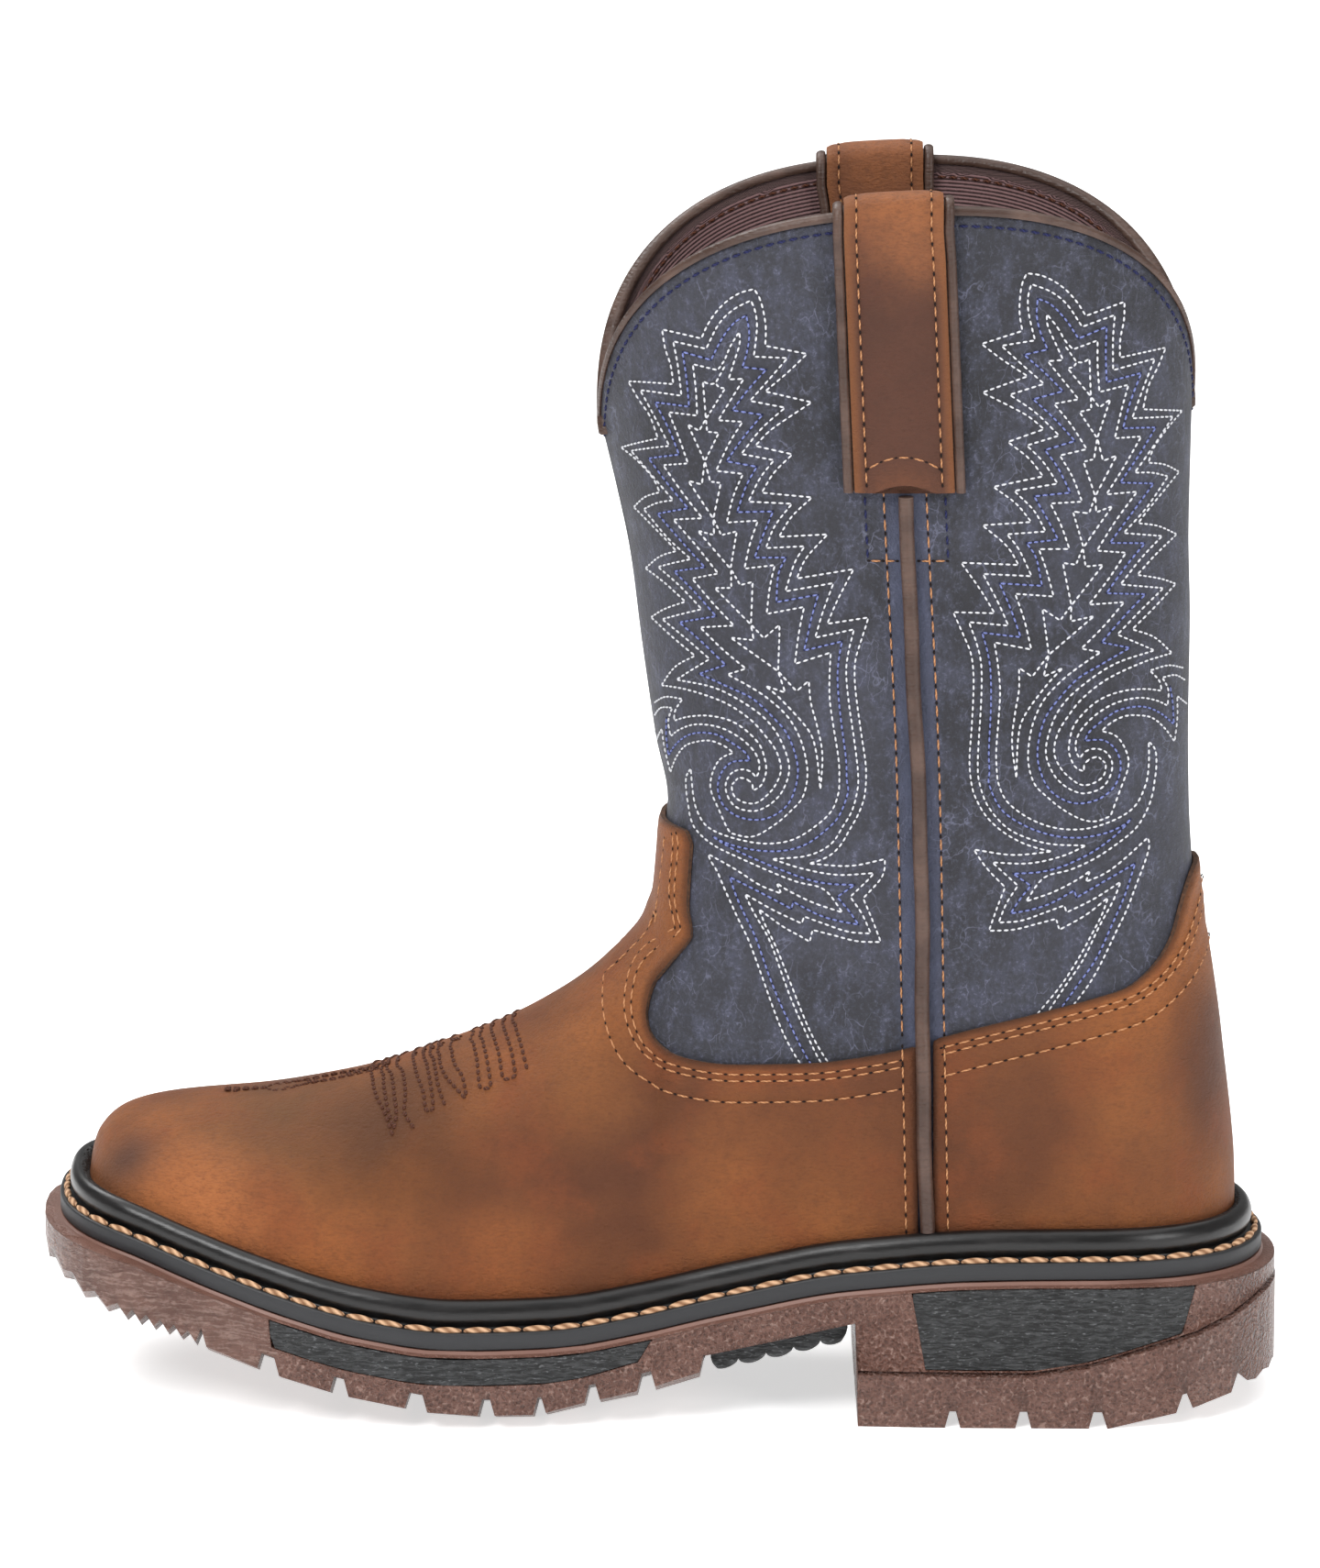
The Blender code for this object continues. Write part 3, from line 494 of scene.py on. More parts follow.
@dataclass(frozen=True)
class Viewpoint:
    """The camera's place and lens, on a picture of 1440 x 1710."""

    place: tuple[float, float, float] = (0.34, -2209.0, 640.0)
    degrees_down: float = 12.556
    focal: float = 10044.24
    middle: tuple[float, float] = (720.0, 861.07)
    picture: tuple[int, int] = (1440, 1710)
    sensor: float = 36.0
    reach: float = 20.0
    near_y: float = -75.0
    far_y: float = 30.0
    halvings: int = 18

    def make_camera(self) -> bpy.types.Object:
        """Camera that looks at the boot's outer side.

        Returns:
            The camera, linked to the scene.
        """
        data = bpy.data.cameras.new("camera")
        data.sensor_width = self.sensor
        data.lens = self.sensor * self.focal / self.picture[1]
        data.shift_y = (self.middle[1] - self.picture[1] / 2) / self.picture[1]
        data.clip_end = self.reach
        camera = bpy.data.objects.new("camera", data)
        camera.location = [value * MM for value in self.place]
        camera.rotation_euler = (math.radians(90 - self.degrees_down), 0, 0)
        bpy.context.scene.collection.objects.link(camera)
        return camera

    def cast(self, last: Last, lines: Sequence[Array], height: float = 0.0) -> list[Array]:
        """Where lines of sight meet the outer side of the upper.

        Args:
            last: Form of the upper.
            lines: Lines of picture places, across and down.
            height: How far above the upper's face the leather lies.

        Returns:
            x and z on the last of every place, line by line.
        """
        u, v = np.concatenate(lines).T
        tilt = math.radians(90 - self.degrees_down)
        rise = (self.middle[1] - v) / self.focal
        ahead = math.cos(tilt) * rise + math.sin(tilt)
        slope_x = (u - self.middle[0]) / self.focal / ahead
        slope_z = (math.sin(tilt) * rise - math.cos(tilt)) / ahead
        eye = np.array(self.place) + ORIGIN
        near, far = np.full_like(u, self.near_y), np.full_like(u, self.far_y)
        for _ in range(self.halvings):
            y = (near + far) / 2
            x, z = eye[0] + (y - eye[1]) * slope_x, eye[2] + (y - eye[1]) * slope_z
            beyond = y + height > last.depth(Side.OUTER, x, z)
            near, far = np.where(beyond, near, y), np.where(beyond, y, far)
        return np.split(np.stack([x, z], 1), np.cumsum([len(line) for line in lines])[:-1])


class Value:
    """One socket of a node tree; its operators add Math nodes."""

    def __init__(self, tree: Tree, socket: bpy.types.NodeSocket) -> None:
        """Wrap a socket of a tree."""
        self.tree, self.socket = tree, socket

    def beside(self, output: str) -> Value:
        """Another output of the same node."""
        return Value(self.tree, self.socket.node.outputs[output])

    def math(self, operation: str, *others: Any) -> Value:
        """Math node of this value and others."""
        return self.tree.add("ShaderNodeMath", dict(enumerate((self, *others))), operation=operation)

    def __add__(self, other: Any) -> Value:
        """Sum."""
        return self.math("ADD", other)

    def __mul__(self, other: Any) -> Value:
        """Product."""
        return self.math("MULTIPLY", other)

    def __sub__(self, other: Any) -> Value:
        """Difference."""
        return self.math("SUBTRACT", other)

    def __rsub__(self, other: Any) -> Value:
        """Difference from a number."""
        return self.tree.add("ShaderNodeMath", {0: other, 1: self}, operation="SUBTRACT")

    __radd__, __rmul__ = __add__, __mul__

    def between(self, low: float, high: float) -> Value:
        """Smooth step of this value, 0 at low and 1 at high."""
        inputs = {"Value": self, "From Min": low, "From Max": high}
        return self.tree.add("ShaderNodeMapRange", inputs, "Result", interpolation_type="SMOOTHSTEP")


class Tree:
    """A node tree, with one way to add its nodes."""

    def __init__(self, tree: bpy.types.NodeTree) -> None:
        """Wrap a node tree."""
        self.tree = tree

    def add(self, kind: str, inputs: dict[Any, Any], output: int | str = 0, **settings: Any) -> Value:
        """Add a node.

        Args:
            kind: Node type.
            inputs: Numbers, colours or links, by socket name or number.
            output: Name or number of the output that is wanted.
            settings: Properties of the node, which are set first.

        Returns:
            The wanted output.
        """
        node = self.tree.nodes.new(kind)
        for key, value in settings.items():
            setattr(node, key, value)
        for key, value in inputs.items():
            self.feed(node.inputs[key], value)
        return Value(self, node.outputs[output])

    def feed(self, socket: bpy.types.NodeSocket, value: Any) -> None:
        """Link a value to a socket, or set the socket's own number or colour.

        Args:
            socket: Input of a node.
            value: What it takes.
        """
        if isinstance(value, Value):
            self.tree.links.new(value.socket, socket)
        elif isinstance(value, tuple) and socket.type == "RGBA":
            socket.default_value = (*value, 1.0)[:4]
        else:
            socket.default_value = value


class Graph(Tree):
    """Node tree of one material, with short ways to add its nodes."""

    def __init__(self, name: str) -> None:
        """Make a material with a Principled shader.

        Args:
            name: Name of the material.
        """
        self.material = bpy.data.materials.new(name)
        self.material.use_nodes = True
        super().__init__(self.material.node_tree)
        self.shader = self.tree.nodes["Principled BSDF"]

    def place(self, kind: str = "Object") -> Value:
        """Coordinates on the piece."""
        return self.add("ShaderNodeTexCoord", {}, kind)

    def attribute(self, name: str) -> Value:
        """Number that the mesh carries at its points."""
        return self.add("ShaderNodeAttribute", {}, "Fac", attribute_name=name)

    def stretched(self, vector: Value, scale: Colour, turn: Colour = (0.0, 0.0, 0.0)) -> Value:
        """Coordinates scaled along each axis, after a turn in degrees."""
        rotation = tuple(math.radians(a) for a in turn)
        return self.add("ShaderNodeMapping", {"Vector": vector, "Scale": scale, "Rotation": rotation})

    def noise(self, vector: Value, scale: float, detail: float = 3.0, rough: float = 0.55) -> Value:
        """Noise of about 1/scale metres."""
        inputs = {"Vector": vector, "Scale": scale, "Detail": detail, "Roughness": rough}
        return self.add("ShaderNodeTexNoise", inputs)

    def vector(self, operation: str, inputs: dict[Any, Any], output: int | str = 0) -> Value:
        """Vector Math node."""
        return self.add("ShaderNodeVectorMath", inputs, output, operation=operation)

    def warped(self, vector: Value, scale: float, amount: float) -> Value:
        """Coordinates pushed about by a noise."""
        noise = self.add("ShaderNodeTexNoise", {"Vector": vector, "Scale": scale, "Detail": 2.0}, "Color")
        return self.vector("ADD", {0: vector, 1: self.vector("SCALE", {0: noise, "Scale": amount})})

    def cells(self, vector: Value, scale: float, feature: str = "DISTANCE_TO_EDGE") -> Value:
        """Voronoi cells: distance to the cell's edge or middle."""
        inputs = {"Vector": vector, "Scale": scale}
        return self.add("ShaderNodeTexVoronoi", inputs, "Distance", feature=feature)

    def distance(self, vector: Value, point: Array) -> Value:
        """Distance to a point of the boot, in metres."""
        return self.vector("DISTANCE", {0: vector, 1: tuple(point)}, "Value")

    def axis(self, vector: Value, name: str) -> Value:
        """One coordinate of a vector."""
        return self.add("ShaderNodeSeparateXYZ", {0: vector}, name)

    def mix(self, factor: Any, first: Any, second: Any) -> Value:
        """Mix of two colours."""
        return self.add("ShaderNodeMix", {0: factor, 6: first, 7: second}, 2, data_type="RGBA")

    def bump(self, height: Value, metres: float, strength: float = 1.0, under: Value | None = None) -> Value:
        """Normal of a surface with this height."""
        inputs = {"Height": height, "Distance": metres, "Strength": strength}
        return self.add("ShaderNodeBump", inputs if under is None else {**inputs, "Normal": under})

    def finish(self, **inputs: Any) -> Material:
        """Feed the shader.

        Args:
            inputs: Values by socket name, with _ for a space.

        Returns:
            The material.
        """
        for key, value in inputs.items():
            self.feed(self.shader.inputs[key.replace("_", " ")], value)
        return self.material


@dataclass(frozen=True)
class Patch:
    """Soft patch of another shade on leather: place on the last, radius, colour and strength."""

    place: tuple[float, float, float]
    radius: float
    colour: Colour
    strength: float


STAINS = (
    Patch((-129.5, -9.0, 58.0), 14.0, (0.045, 0.027, 0.022), 0.90),
    Patch((-92.0, -8.0, 68.0), 34.0, (0.110, 0.050, 0.017), 0.85),
    Patch((-66.0, -16.0, 69.0), 36.0, (0.078, 0.028, 0.009), 0.95),
    Patch((-114.0, -28.0, 46.0), 32.0, (0.440, 0.150, 0.050), 0.75),
    Patch((-84.0, -38.0, 36.0), 22.0, (0.360, 0.112, 0.030), 0.60),
    Patch((-40.0, -42.0, 36.0), 26.0, (0.320, 0.096, 0.026), 0.50),
    Patch((-20.0, -28.0, 84.0), 26.0, (0.330, 0.120, 0.034), 0.50),
    Patch((88.0, -36.0, 88.0), 36.0, (0.140, 0.048, 0.017), 0.55),
    Patch((40.0, -38.0, 62.0), 32.0, (0.140, 0.048, 0.017), 0.50),
    Patch((118.0, -32.0, 78.0), 20.0, (0.270, 0.096, 0.028), 0.50),
)
# painted highlights on the straps: lighter on each strap's top where it bends over the rim, and a smaller
# lighter patch just below the outer strap
STRAP_HIGHLIGHTS = (
    Patch((56.0, -45.0, 304.0), 31.0, (0.300, 0.108, 0.040), 0.95),
    Patch((53.0, 45.0, 304.0), 31.0, (0.300, 0.108, 0.040), 0.95),
    Patch((58.0, -42.0, 228.0), 14.0, (0.200, 0.070, 0.030), 0.60),
)


@dataclass(frozen=True)
class TanLeather:
    """Oiled tan leather with a short nap, pulled up lighter and darker in clouds."""

    name: str = "tan_leather_oiled"
    slot: str = "tan_leather"
    light: Colour = (0.290, 0.098, 0.028)
    warm: Colour = (0.205, 0.056, 0.018)
    dark: Colour = (0.094, 0.031, 0.013)
    burnish: Colour = (0.055, 0.020, 0.009)
    roughness: float = 0.56
    burnish_width: float = 1.8
    cloud: float = 15.0
    stains_and_highlights: tuple[Patch, ...] = STAINS

    def make(self) -> Material:
        """Paint the finish.

        Returns:
            The material.
        """
        g = Graph(self.name)
        at = g.place()
        cloud = g.noise(g.warped(at, 14.0, 0.03), self.cloud, 3.0, 0.5)
        blush = g.noise(at, self.cloud * 3.2, 5.0, 0.62)
        nap = g.noise(g.stretched(at, (0.6, 0.7, 1.6), (0, 12, 0)), 1150.0, 5.0, 0.75)
        grain = g.noise(at, 280.0, 4.0, 0.65)
        pores = g.cells(g.warped(at, 700.0, 0.0006), 950.0, "F1")
        colour = g.mix(cloud.between(0.30, 0.62), self.dark, self.light)
        colour = g.mix(blush.between(0.45, 0.66) * 0.60, colour, self.warm)
        # patches of another colour: stains on the foot, painted highlights on the straps
        for patch in self.stains_and_highlights:
            spot = (np.array(patch.place) - ORIGIN) * MM
            ragged = g.distance(at, spot) + (blush - 0.5) * (patch.radius * MM * 0.8)
            mask = 1 - ragged.between(0.0, patch.radius * MM)
            colour = g.mix(mask * patch.strength, colour, patch.colour)
        shade = (1 - nap.between(0.34, 0.58)) * 0.34 + (1 - grain.between(0.36, 0.56)) * 0.14
        colour = g.mix(shade, colour, self.dark)
        rim = 1 - g.attribute("edge").between(0.0, self.burnish_width)
        colour = g.mix(rim * 0.75, colour, self.burnish)
        rough = self.roughness + (cloud - 0.5) * 0.2 + (nap - 0.5) * 0.25
        normal = g.bump(pores, 0.00025, 0.5, g.bump(nap, 0.0007, 0.85))
        normal = g.bump(grain, 0.0016, 0.35, normal)
        g.finish(Specular_IOR_Level=0.22, Sheen_Weight=0.02, Sheen_Roughness=0.5, Sheen_Tint=(0.9, 0.6, 0.35))
        return g.finish(Base_Color=colour, Roughness=rough, Normal=normal)


@dataclass(frozen=True)
class NavyLeather:
    """Distressed slate-navy leather: clouded, with fine pale-blue cracks and rubbed grain."""

    name: str = "navy_leather"
    slot: str = "blue_leather"
    dark: Colour = (0.024, 0.024, 0.029)
    middle: Colour = (0.045, 0.046, 0.059)
    pale: Colour = (0.175, 0.185, 0.265)
    rubbed: Colour = (0.060, 0.064, 0.096)
    seam: Colour = (0.088, 0.100, 0.165)

    def make(self) -> Material:
        """Paint the finish.

        Returns:
            The material.
        """
        g = Graph(self.name)
        at = g.place()
        cloud = g.noise(g.warped(at, 20.0, 0.02), 17.0, 3.0, 0.55)
        scuff = g.noise(g.stretched(at, (1.2, 1.0, 0.6), (0, 24, 0)), 170.0, 5.0, 0.72)
        grain = g.noise(at, 950.0, 4.0, 0.75)
        bent = g.warped(g.warped(at, 60.0, 0.012), 300.0, 0.003)
        hairs = 1 - g.cells(g.stretched(bent, (1.3, 1.0, 0.6), (0, -38, 0)), 200.0).between(0.0, 0.034)
        broken = g.noise(at, 95.0, 4.0, 0.6).between(0.48, 0.62)
        rubbed = scuff.between(0.43, 0.66)
        colour = g.mix(cloud.between(0.34, 0.66), self.dark, self.middle)
        colour = g.mix(rubbed * (0.35 + cloud * 0.6), colour, self.rubbed)
        colour = g.mix(grain.between(0.50, 0.74) * (0.26 + rubbed * 0.44), colour, self.pale)
        colour = g.mix(hairs * broken * 0.50, colour, self.pale)
        colour = g.mix((1 - grain.between(0.28, 0.50)) * 0.60, colour, self.dark)
        colour = g.mix(g.attribute("seam") * (0.25 + scuff * 0.6), colour, self.seam)
        rough = 0.60 + (grain - 0.5) * 0.3 - rubbed * 0.06
        normal = g.bump(scuff, 0.0014, 0.35, g.bump(grain, 0.0008, 0.9))
        g.finish(Specular_IOR_Level=0.28, Sheen_Weight=0.03, Sheen_Roughness=0.5)
        return g.finish(Base_Color=colour, Roughness=rough, Normal=normal)


@dataclass(frozen=True)
class PipingLeather:
    """Smooth taupe leather of piping, binding and rolled edges."""

    name: str = "piping_leather"
    slot: str = "brown_piping"
    shade: Colour = (0.050, 0.027, 0.020)
    light: Colour = (0.100, 0.059, 0.045)
    wrinkle: Colour = (0.050, 0.032, 0.024)

    def make(self) -> Material:
        """Paint the finish.

        Returns:
            The material.
        """
        g = Graph(self.name)
        at = g.place()
        cloud = g.noise(at, 75.0, 4.0)
        grain = g.cells(g.warped(at, 500.0, 0.001), 1150.0, "F1")
        wrinkle = g.noise(g.stretched(at, (0.4, 0.4, 3.0)), 420.0, 3.0)
        colour = g.mix(cloud.between(0.35, 0.7), self.shade, self.light)
        # painted shade: darker in the troughs of the wrinkles
        colour = g.mix((1 - wrinkle.between(0.3, 0.55)) * 0.35, colour, self.wrinkle)
        normal = g.bump(wrinkle, 0.0006, 0.5, g.bump(grain, 0.0002, 0.4))
        rough = 0.38 + (cloud - 0.5) * 0.2
        return g.finish(Base_Color=colour, Roughness=rough, Normal=normal, Specular_IOR_Level=0.32)


@dataclass(frozen=True)
class CutEdge:
    """Raw cut edge of leather, inked dark."""

    name: str = "cut_edge"
    dark: Colour = (0.040, 0.018, 0.009)
    light: Colour = (0.110, 0.047, 0.020)

    def make(self) -> Material:
        """Paint the finish.

        Returns:
            The material.
        """
        g = Graph(self.name)
        fibre = g.noise(g.place(), 900.0, 4.0, 0.7)
        colour = g.mix(fibre.between(0.35, 0.7), self.dark, self.light)
        return g.finish(Base_Color=colour, Roughness=0.8, Normal=g.bump(fibre, 0.0003, 0.7))


@dataclass(frozen=True)
class WeltRubber:
    """Black waxed welt: satin lip, glossy rolled bead."""

    name: str = "welt_black"
    slot: str = "black_welt"
    dark: Colour = (0.0045, 0.0040, 0.0040)
    smeared: Colour = (0.012, 0.0105, 0.0105)
    lip: Colour = (0.021, 0.022, 0.025)

    def make(self) -> Material:
        """Paint the finish.

        Returns:
            The material.
        """
        g = Graph(self.name)
        at = g.place()
        smear = g.noise(g.stretched(at, (0.5, 0.5, 3.0)), 160.0, 4.0, 0.6)
        fine = g.noise(at, 1100.0, 3.0, 0.6)
        chips = g.cells(g.warped(at, 400.0, 0.002), 620.0)
        lip, turn = g.attribute("lip"), g.attribute("turn")
        colour = g.mix(smear.between(0.4, 0.75), self.dark, self.smeared)
        colour = g.mix(lip * 0.8, colour, self.lip)
        rough = 0.26 + smear * 0.14 + lip * 0.22 + turn * 0.2
        normal = g.bump(smear, 0.0004, 0.3, g.bump(fine, 0.00006, 0.35))
        normal = g.bump(chips.between(0.0, 0.25) * turn, 0.0012, 1.0, normal)
        return g.finish(Base_Color=colour, Roughness=rough, Normal=normal, Specular_IOR_Level=0.45)


@dataclass(frozen=True)
class BrownRubber:
    """Moulded brown rubber: smooth band under the welt, pebbled sides, grained toe."""

    name: str = "sole_brown"
    slot: str = "brown_rubber"
    base: Colour = (0.132, 0.058, 0.041)
    pale: Colour = (0.175, 0.084, 0.062)
    # painted shade for the hollows of the relief
    deep: Colour = (0.055, 0.024, 0.017)
    # painted highlight: glints on the peaks of the relief
    painted_glint: Colour = (0.40, 0.265, 0.22)
    band: Colour = (0.175, 0.086, 0.063)
    # painted shade of the sole's recesses
    recess_shade: Colour = (0.020, 0.009, 0.007)

    def make(self) -> Material:
        """Paint the finish.

        Returns:
            The material.
        """
        g = Graph(self.name)
        at = g.place()
        pebble = g.cells(g.warped(at, 400.0, 0.0016), 1150.0, "SMOOTH_F1")
        peel = g.noise(g.warped(at, 400.0, 0.0016), 1050.0, 3.0, 0.6)
        bark = g.stretched(g.warped(at, 130.0, 0.003), (0.35, 0.5, 2.8), (0, -22, 0))
        crease = g.noise(bark, 420.0, 4.0, 0.7)
        dust = g.noise(at, 70.0, 4.0, 0.6)
        toe = 1 - g.axis(at, "X").between(-0.100, -0.085)
        smooth = g.attribute("band")
        rough_part = 1 - smooth
        relief = (pebble * 0.7 + peel * 0.9) * (1 - toe * 0.7) + crease * toe * 1.30
        colour = g.mix(dust.between(0.35, 0.7), self.base, self.pale)
        # painted shade: darker in the hollows of the pebbles, the peel and the toe's creases
        colour = g.mix((1 - relief.between(0.50, 0.78)) * rough_part * 0.50, colour, self.deep)
        # painted glints: lighter on the peaks of the relief
        colour = g.mix(relief.between(0.82, 1.04) * rough_part * 0.50, colour, self.painted_glint)
        colour = g.mix(smooth * 0.6, colour, self.band)
        # painted shade: darker in the insert pockets, the groove above the heel's step and between the lugs
        colour = g.mix(g.attribute("recess_shade") * 0.8, colour, self.recess_shade)
        rough = 0.25 + (dust - 0.5) * 0.15 + smooth * 0.22
        normal = g.bump(relief * rough_part, 0.0022, 1.0)
        return g.finish(Base_Color=colour, Roughness=rough, Normal=normal, Specular_IOR_Level=0.50)


@dataclass(frozen=True)
class BlackRubber:
    """Charcoal rubber panels with a fine grain along the sole."""

    name: str = "insert_black"
    slot: str = "black_rubber"
    dark: Colour = (0.010, 0.0105, 0.011)
    light: Colour = (0.056, 0.058, 0.060)
    # painted highlight: light specks on the grain
    painted_glint: Colour = (0.25, 0.26, 0.27)

    def make(self) -> Material:
        """Paint the finish.

        Returns:
            The material.
        """
        g = Graph(self.name)
        at = g.place()
        streak = g.noise(g.stretched(g.warped(at, 300.0, 0.0012), (0.30, 0.30, 2.2)), 950.0, 4.0, 0.7)
        speck = g.noise(g.stretched(at, (0.5, 0.5, 1.6)), 1300.0, 2.0, 0.6)
        colour = g.mix(streak.between(0.40, 0.64), self.dark, self.light)
        # painted glints: light specks on the grain
        colour = g.mix(speck.between(0.60, 0.70) * 0.45, colour, self.painted_glint)
        normal = g.bump(streak, 0.0014, 0.9, g.bump(speck, 0.0005, 0.4))
        rough = 0.40 + (streak - 0.5) * 0.3
        return g.finish(Base_Color=colour, Roughness=rough, Normal=normal, Specular_IOR_Level=0.40)


@dataclass(frozen=True)
class MeshLining:
    """Maroon-brown knitted lining: small staggered loops."""

    name: str = "lining_mesh"
    pitch: float = 1.5
    dark: Colour = (0.034, 0.018, 0.018)
    light: Colour = (0.185, 0.108, 0.102)
    worn: Colour = (0.130, 0.082, 0.078)

    def make(self) -> Material:
        """Paint the finish.

        Returns:
            The material.
        """
        g = Graph(self.name)
        at = g.stretched(g.place("UV"), (1.0 / self.pitch, 1.0 / self.pitch, 1.0))
        u, v = g.axis(at, "X"), g.axis(at, "Y")
        loops = (u * math.tau).math("SINE") * (v * math.tau).math("SINE") * 0.5 + 0.5
        ribs = ((u + v) * math.pi).math("SINE").math("ABSOLUTE")
        weave = loops * 0.65 + ribs * 0.35
        cloud = g.noise(g.place(), 120.0, 3.0)
        colour = g.mix(weave.between(0.25, 0.8), self.dark, self.light)
        colour = g.mix(cloud.between(0.4, 0.7) * 0.4, colour, self.worn)
        return g.finish(Base_Color=colour, Roughness=0.85, Normal=g.bump(weave, 0.0006, 0.9))


@dataclass(frozen=True)
class RimTape:
    """Maroon webbing tape inside the rim: cords along it, fine weft across."""

    name: str = "rim_tape"
    cord: float = 0.95
    dark: Colour = (0.042, 0.020, 0.021)
    light: Colour = (0.185, 0.100, 0.100)

    def make(self) -> Material:
        """Paint the finish.

        Returns:
            The material.
        """
        g = Graph(self.name)
        cords = (g.attribute("down") * (math.pi / self.cord)).math("SINE").math("ABSOLUTE")
        weave = cords * 0.6 + g.noise(g.place(), 1500.0, 2.0, 0.6) * 0.5
        colour = g.mix(weave.between(0.25, 0.85), self.dark, self.light)
        return g.finish(Base_Color=colour, Roughness=0.75, Normal=g.bump(weave, 0.0007, 0.9))


@dataclass(frozen=True)
class InsoleBoard:
    """Brown footbed with a fine felt face."""

    name: str = "footbed"
    dark: Colour = (0.042, 0.026, 0.020)
    light: Colour = (0.115, 0.070, 0.054)
    worn: Colour = (0.060, 0.036, 0.028)

    def make(self) -> Material:
        """Paint the finish.

        Returns:
            The material.
        """
        g = Graph(self.name)
        felt = g.noise(g.place(), 1000.0, 4.0, 0.7)
        cloud = g.noise(g.place(), 50.0, 3.0)
        colour = g.mix(felt.between(0.3, 0.7), self.dark, self.light)
        colour = g.mix(cloud.between(0.4, 0.7) * 0.4, colour, self.worn)
        return g.finish(Base_Color=colour, Roughness=0.9, Normal=g.bump(felt, 0.0005, 0.7))


class Look(Enum):
    """Finishes of the boot."""

    TAN = TanLeather()
    STRAP = TanLeather(
        "strap_leather",
        light=(0.112, 0.043, 0.026),
        warm=(0.094, 0.034, 0.021),
        dark=(0.062, 0.026, 0.017),
        burnish=(0.235, 0.088, 0.033),
        burnish_width=3.2,
        stains_and_highlights=STRAP_HIGHLIGHTS,
    )
    NAVY = NavyLeather()
    PIPING = PipingLeather()
    EDGE = CutEdge()
    WELT = WeltRubber()
    SOLE = BrownRubber()
    INSERT = BlackRubber()
    LINING = MeshLining()
    FOOTBED = InsoleBoard()
    TAPE = RimTape()


class Thread(Enum):
    """Threads that the boot is sewn with: pale and dark shade of each."""

    WHITE = ((0.95, 0.95, 0.97), (0.66, 0.67, 0.73))
    BLUE = ((0.300, 0.345, 0.680), (0.130, 0.160, 0.430))
    COPPER = ((0.66, 0.34, 0.165), (0.34, 0.135, 0.052))
    RUST = ((0.125, 0.042, 0.022), (0.040, 0.015, 0.009))
    NAVY = ((0.026, 0.030, 0.110), (0.008, 0.010, 0.034))
    GOLD = ((0.68, 0.43, 0.26), (0.17, 0.072, 0.030))
    HOLE = ((0.014, 0.006, 0.004), (0.006, 0.003, 0.002))

    def make(self) -> Material:
        """Paint the thread: two plies twisted round each other.

        Returns:
            The material.
        """
        pale, dark = self.value
        g = Graph(f"thread_{self.name.lower()}")
        at = g.place("UV")
        ply = ((g.axis(at, "X") * 2.0 + g.axis(at, "Y") * 3.0) * math.tau).math("SINE") * 0.5 + 0.5
        fuzz = g.noise(g.place(), 1800.0, 2.0)
        ends = (g.axis(at, "Y") - 0.5).math("ABSOLUTE").between(0.30, 0.50)
        colour = g.mix(ply * 0.75 + fuzz * 0.25, dark, pale)
        # painted shade: darker towards both ends of each stitch, where the thread sinks into the leather
        colour = g.mix(ends * 0.65, colour, dark)
        normal = g.bump(ply, 0.00030, 0.7)
        return g.finish(Base_Color=colour, Roughness=0.6, Normal=normal, Specular_IOR_Level=0.2)


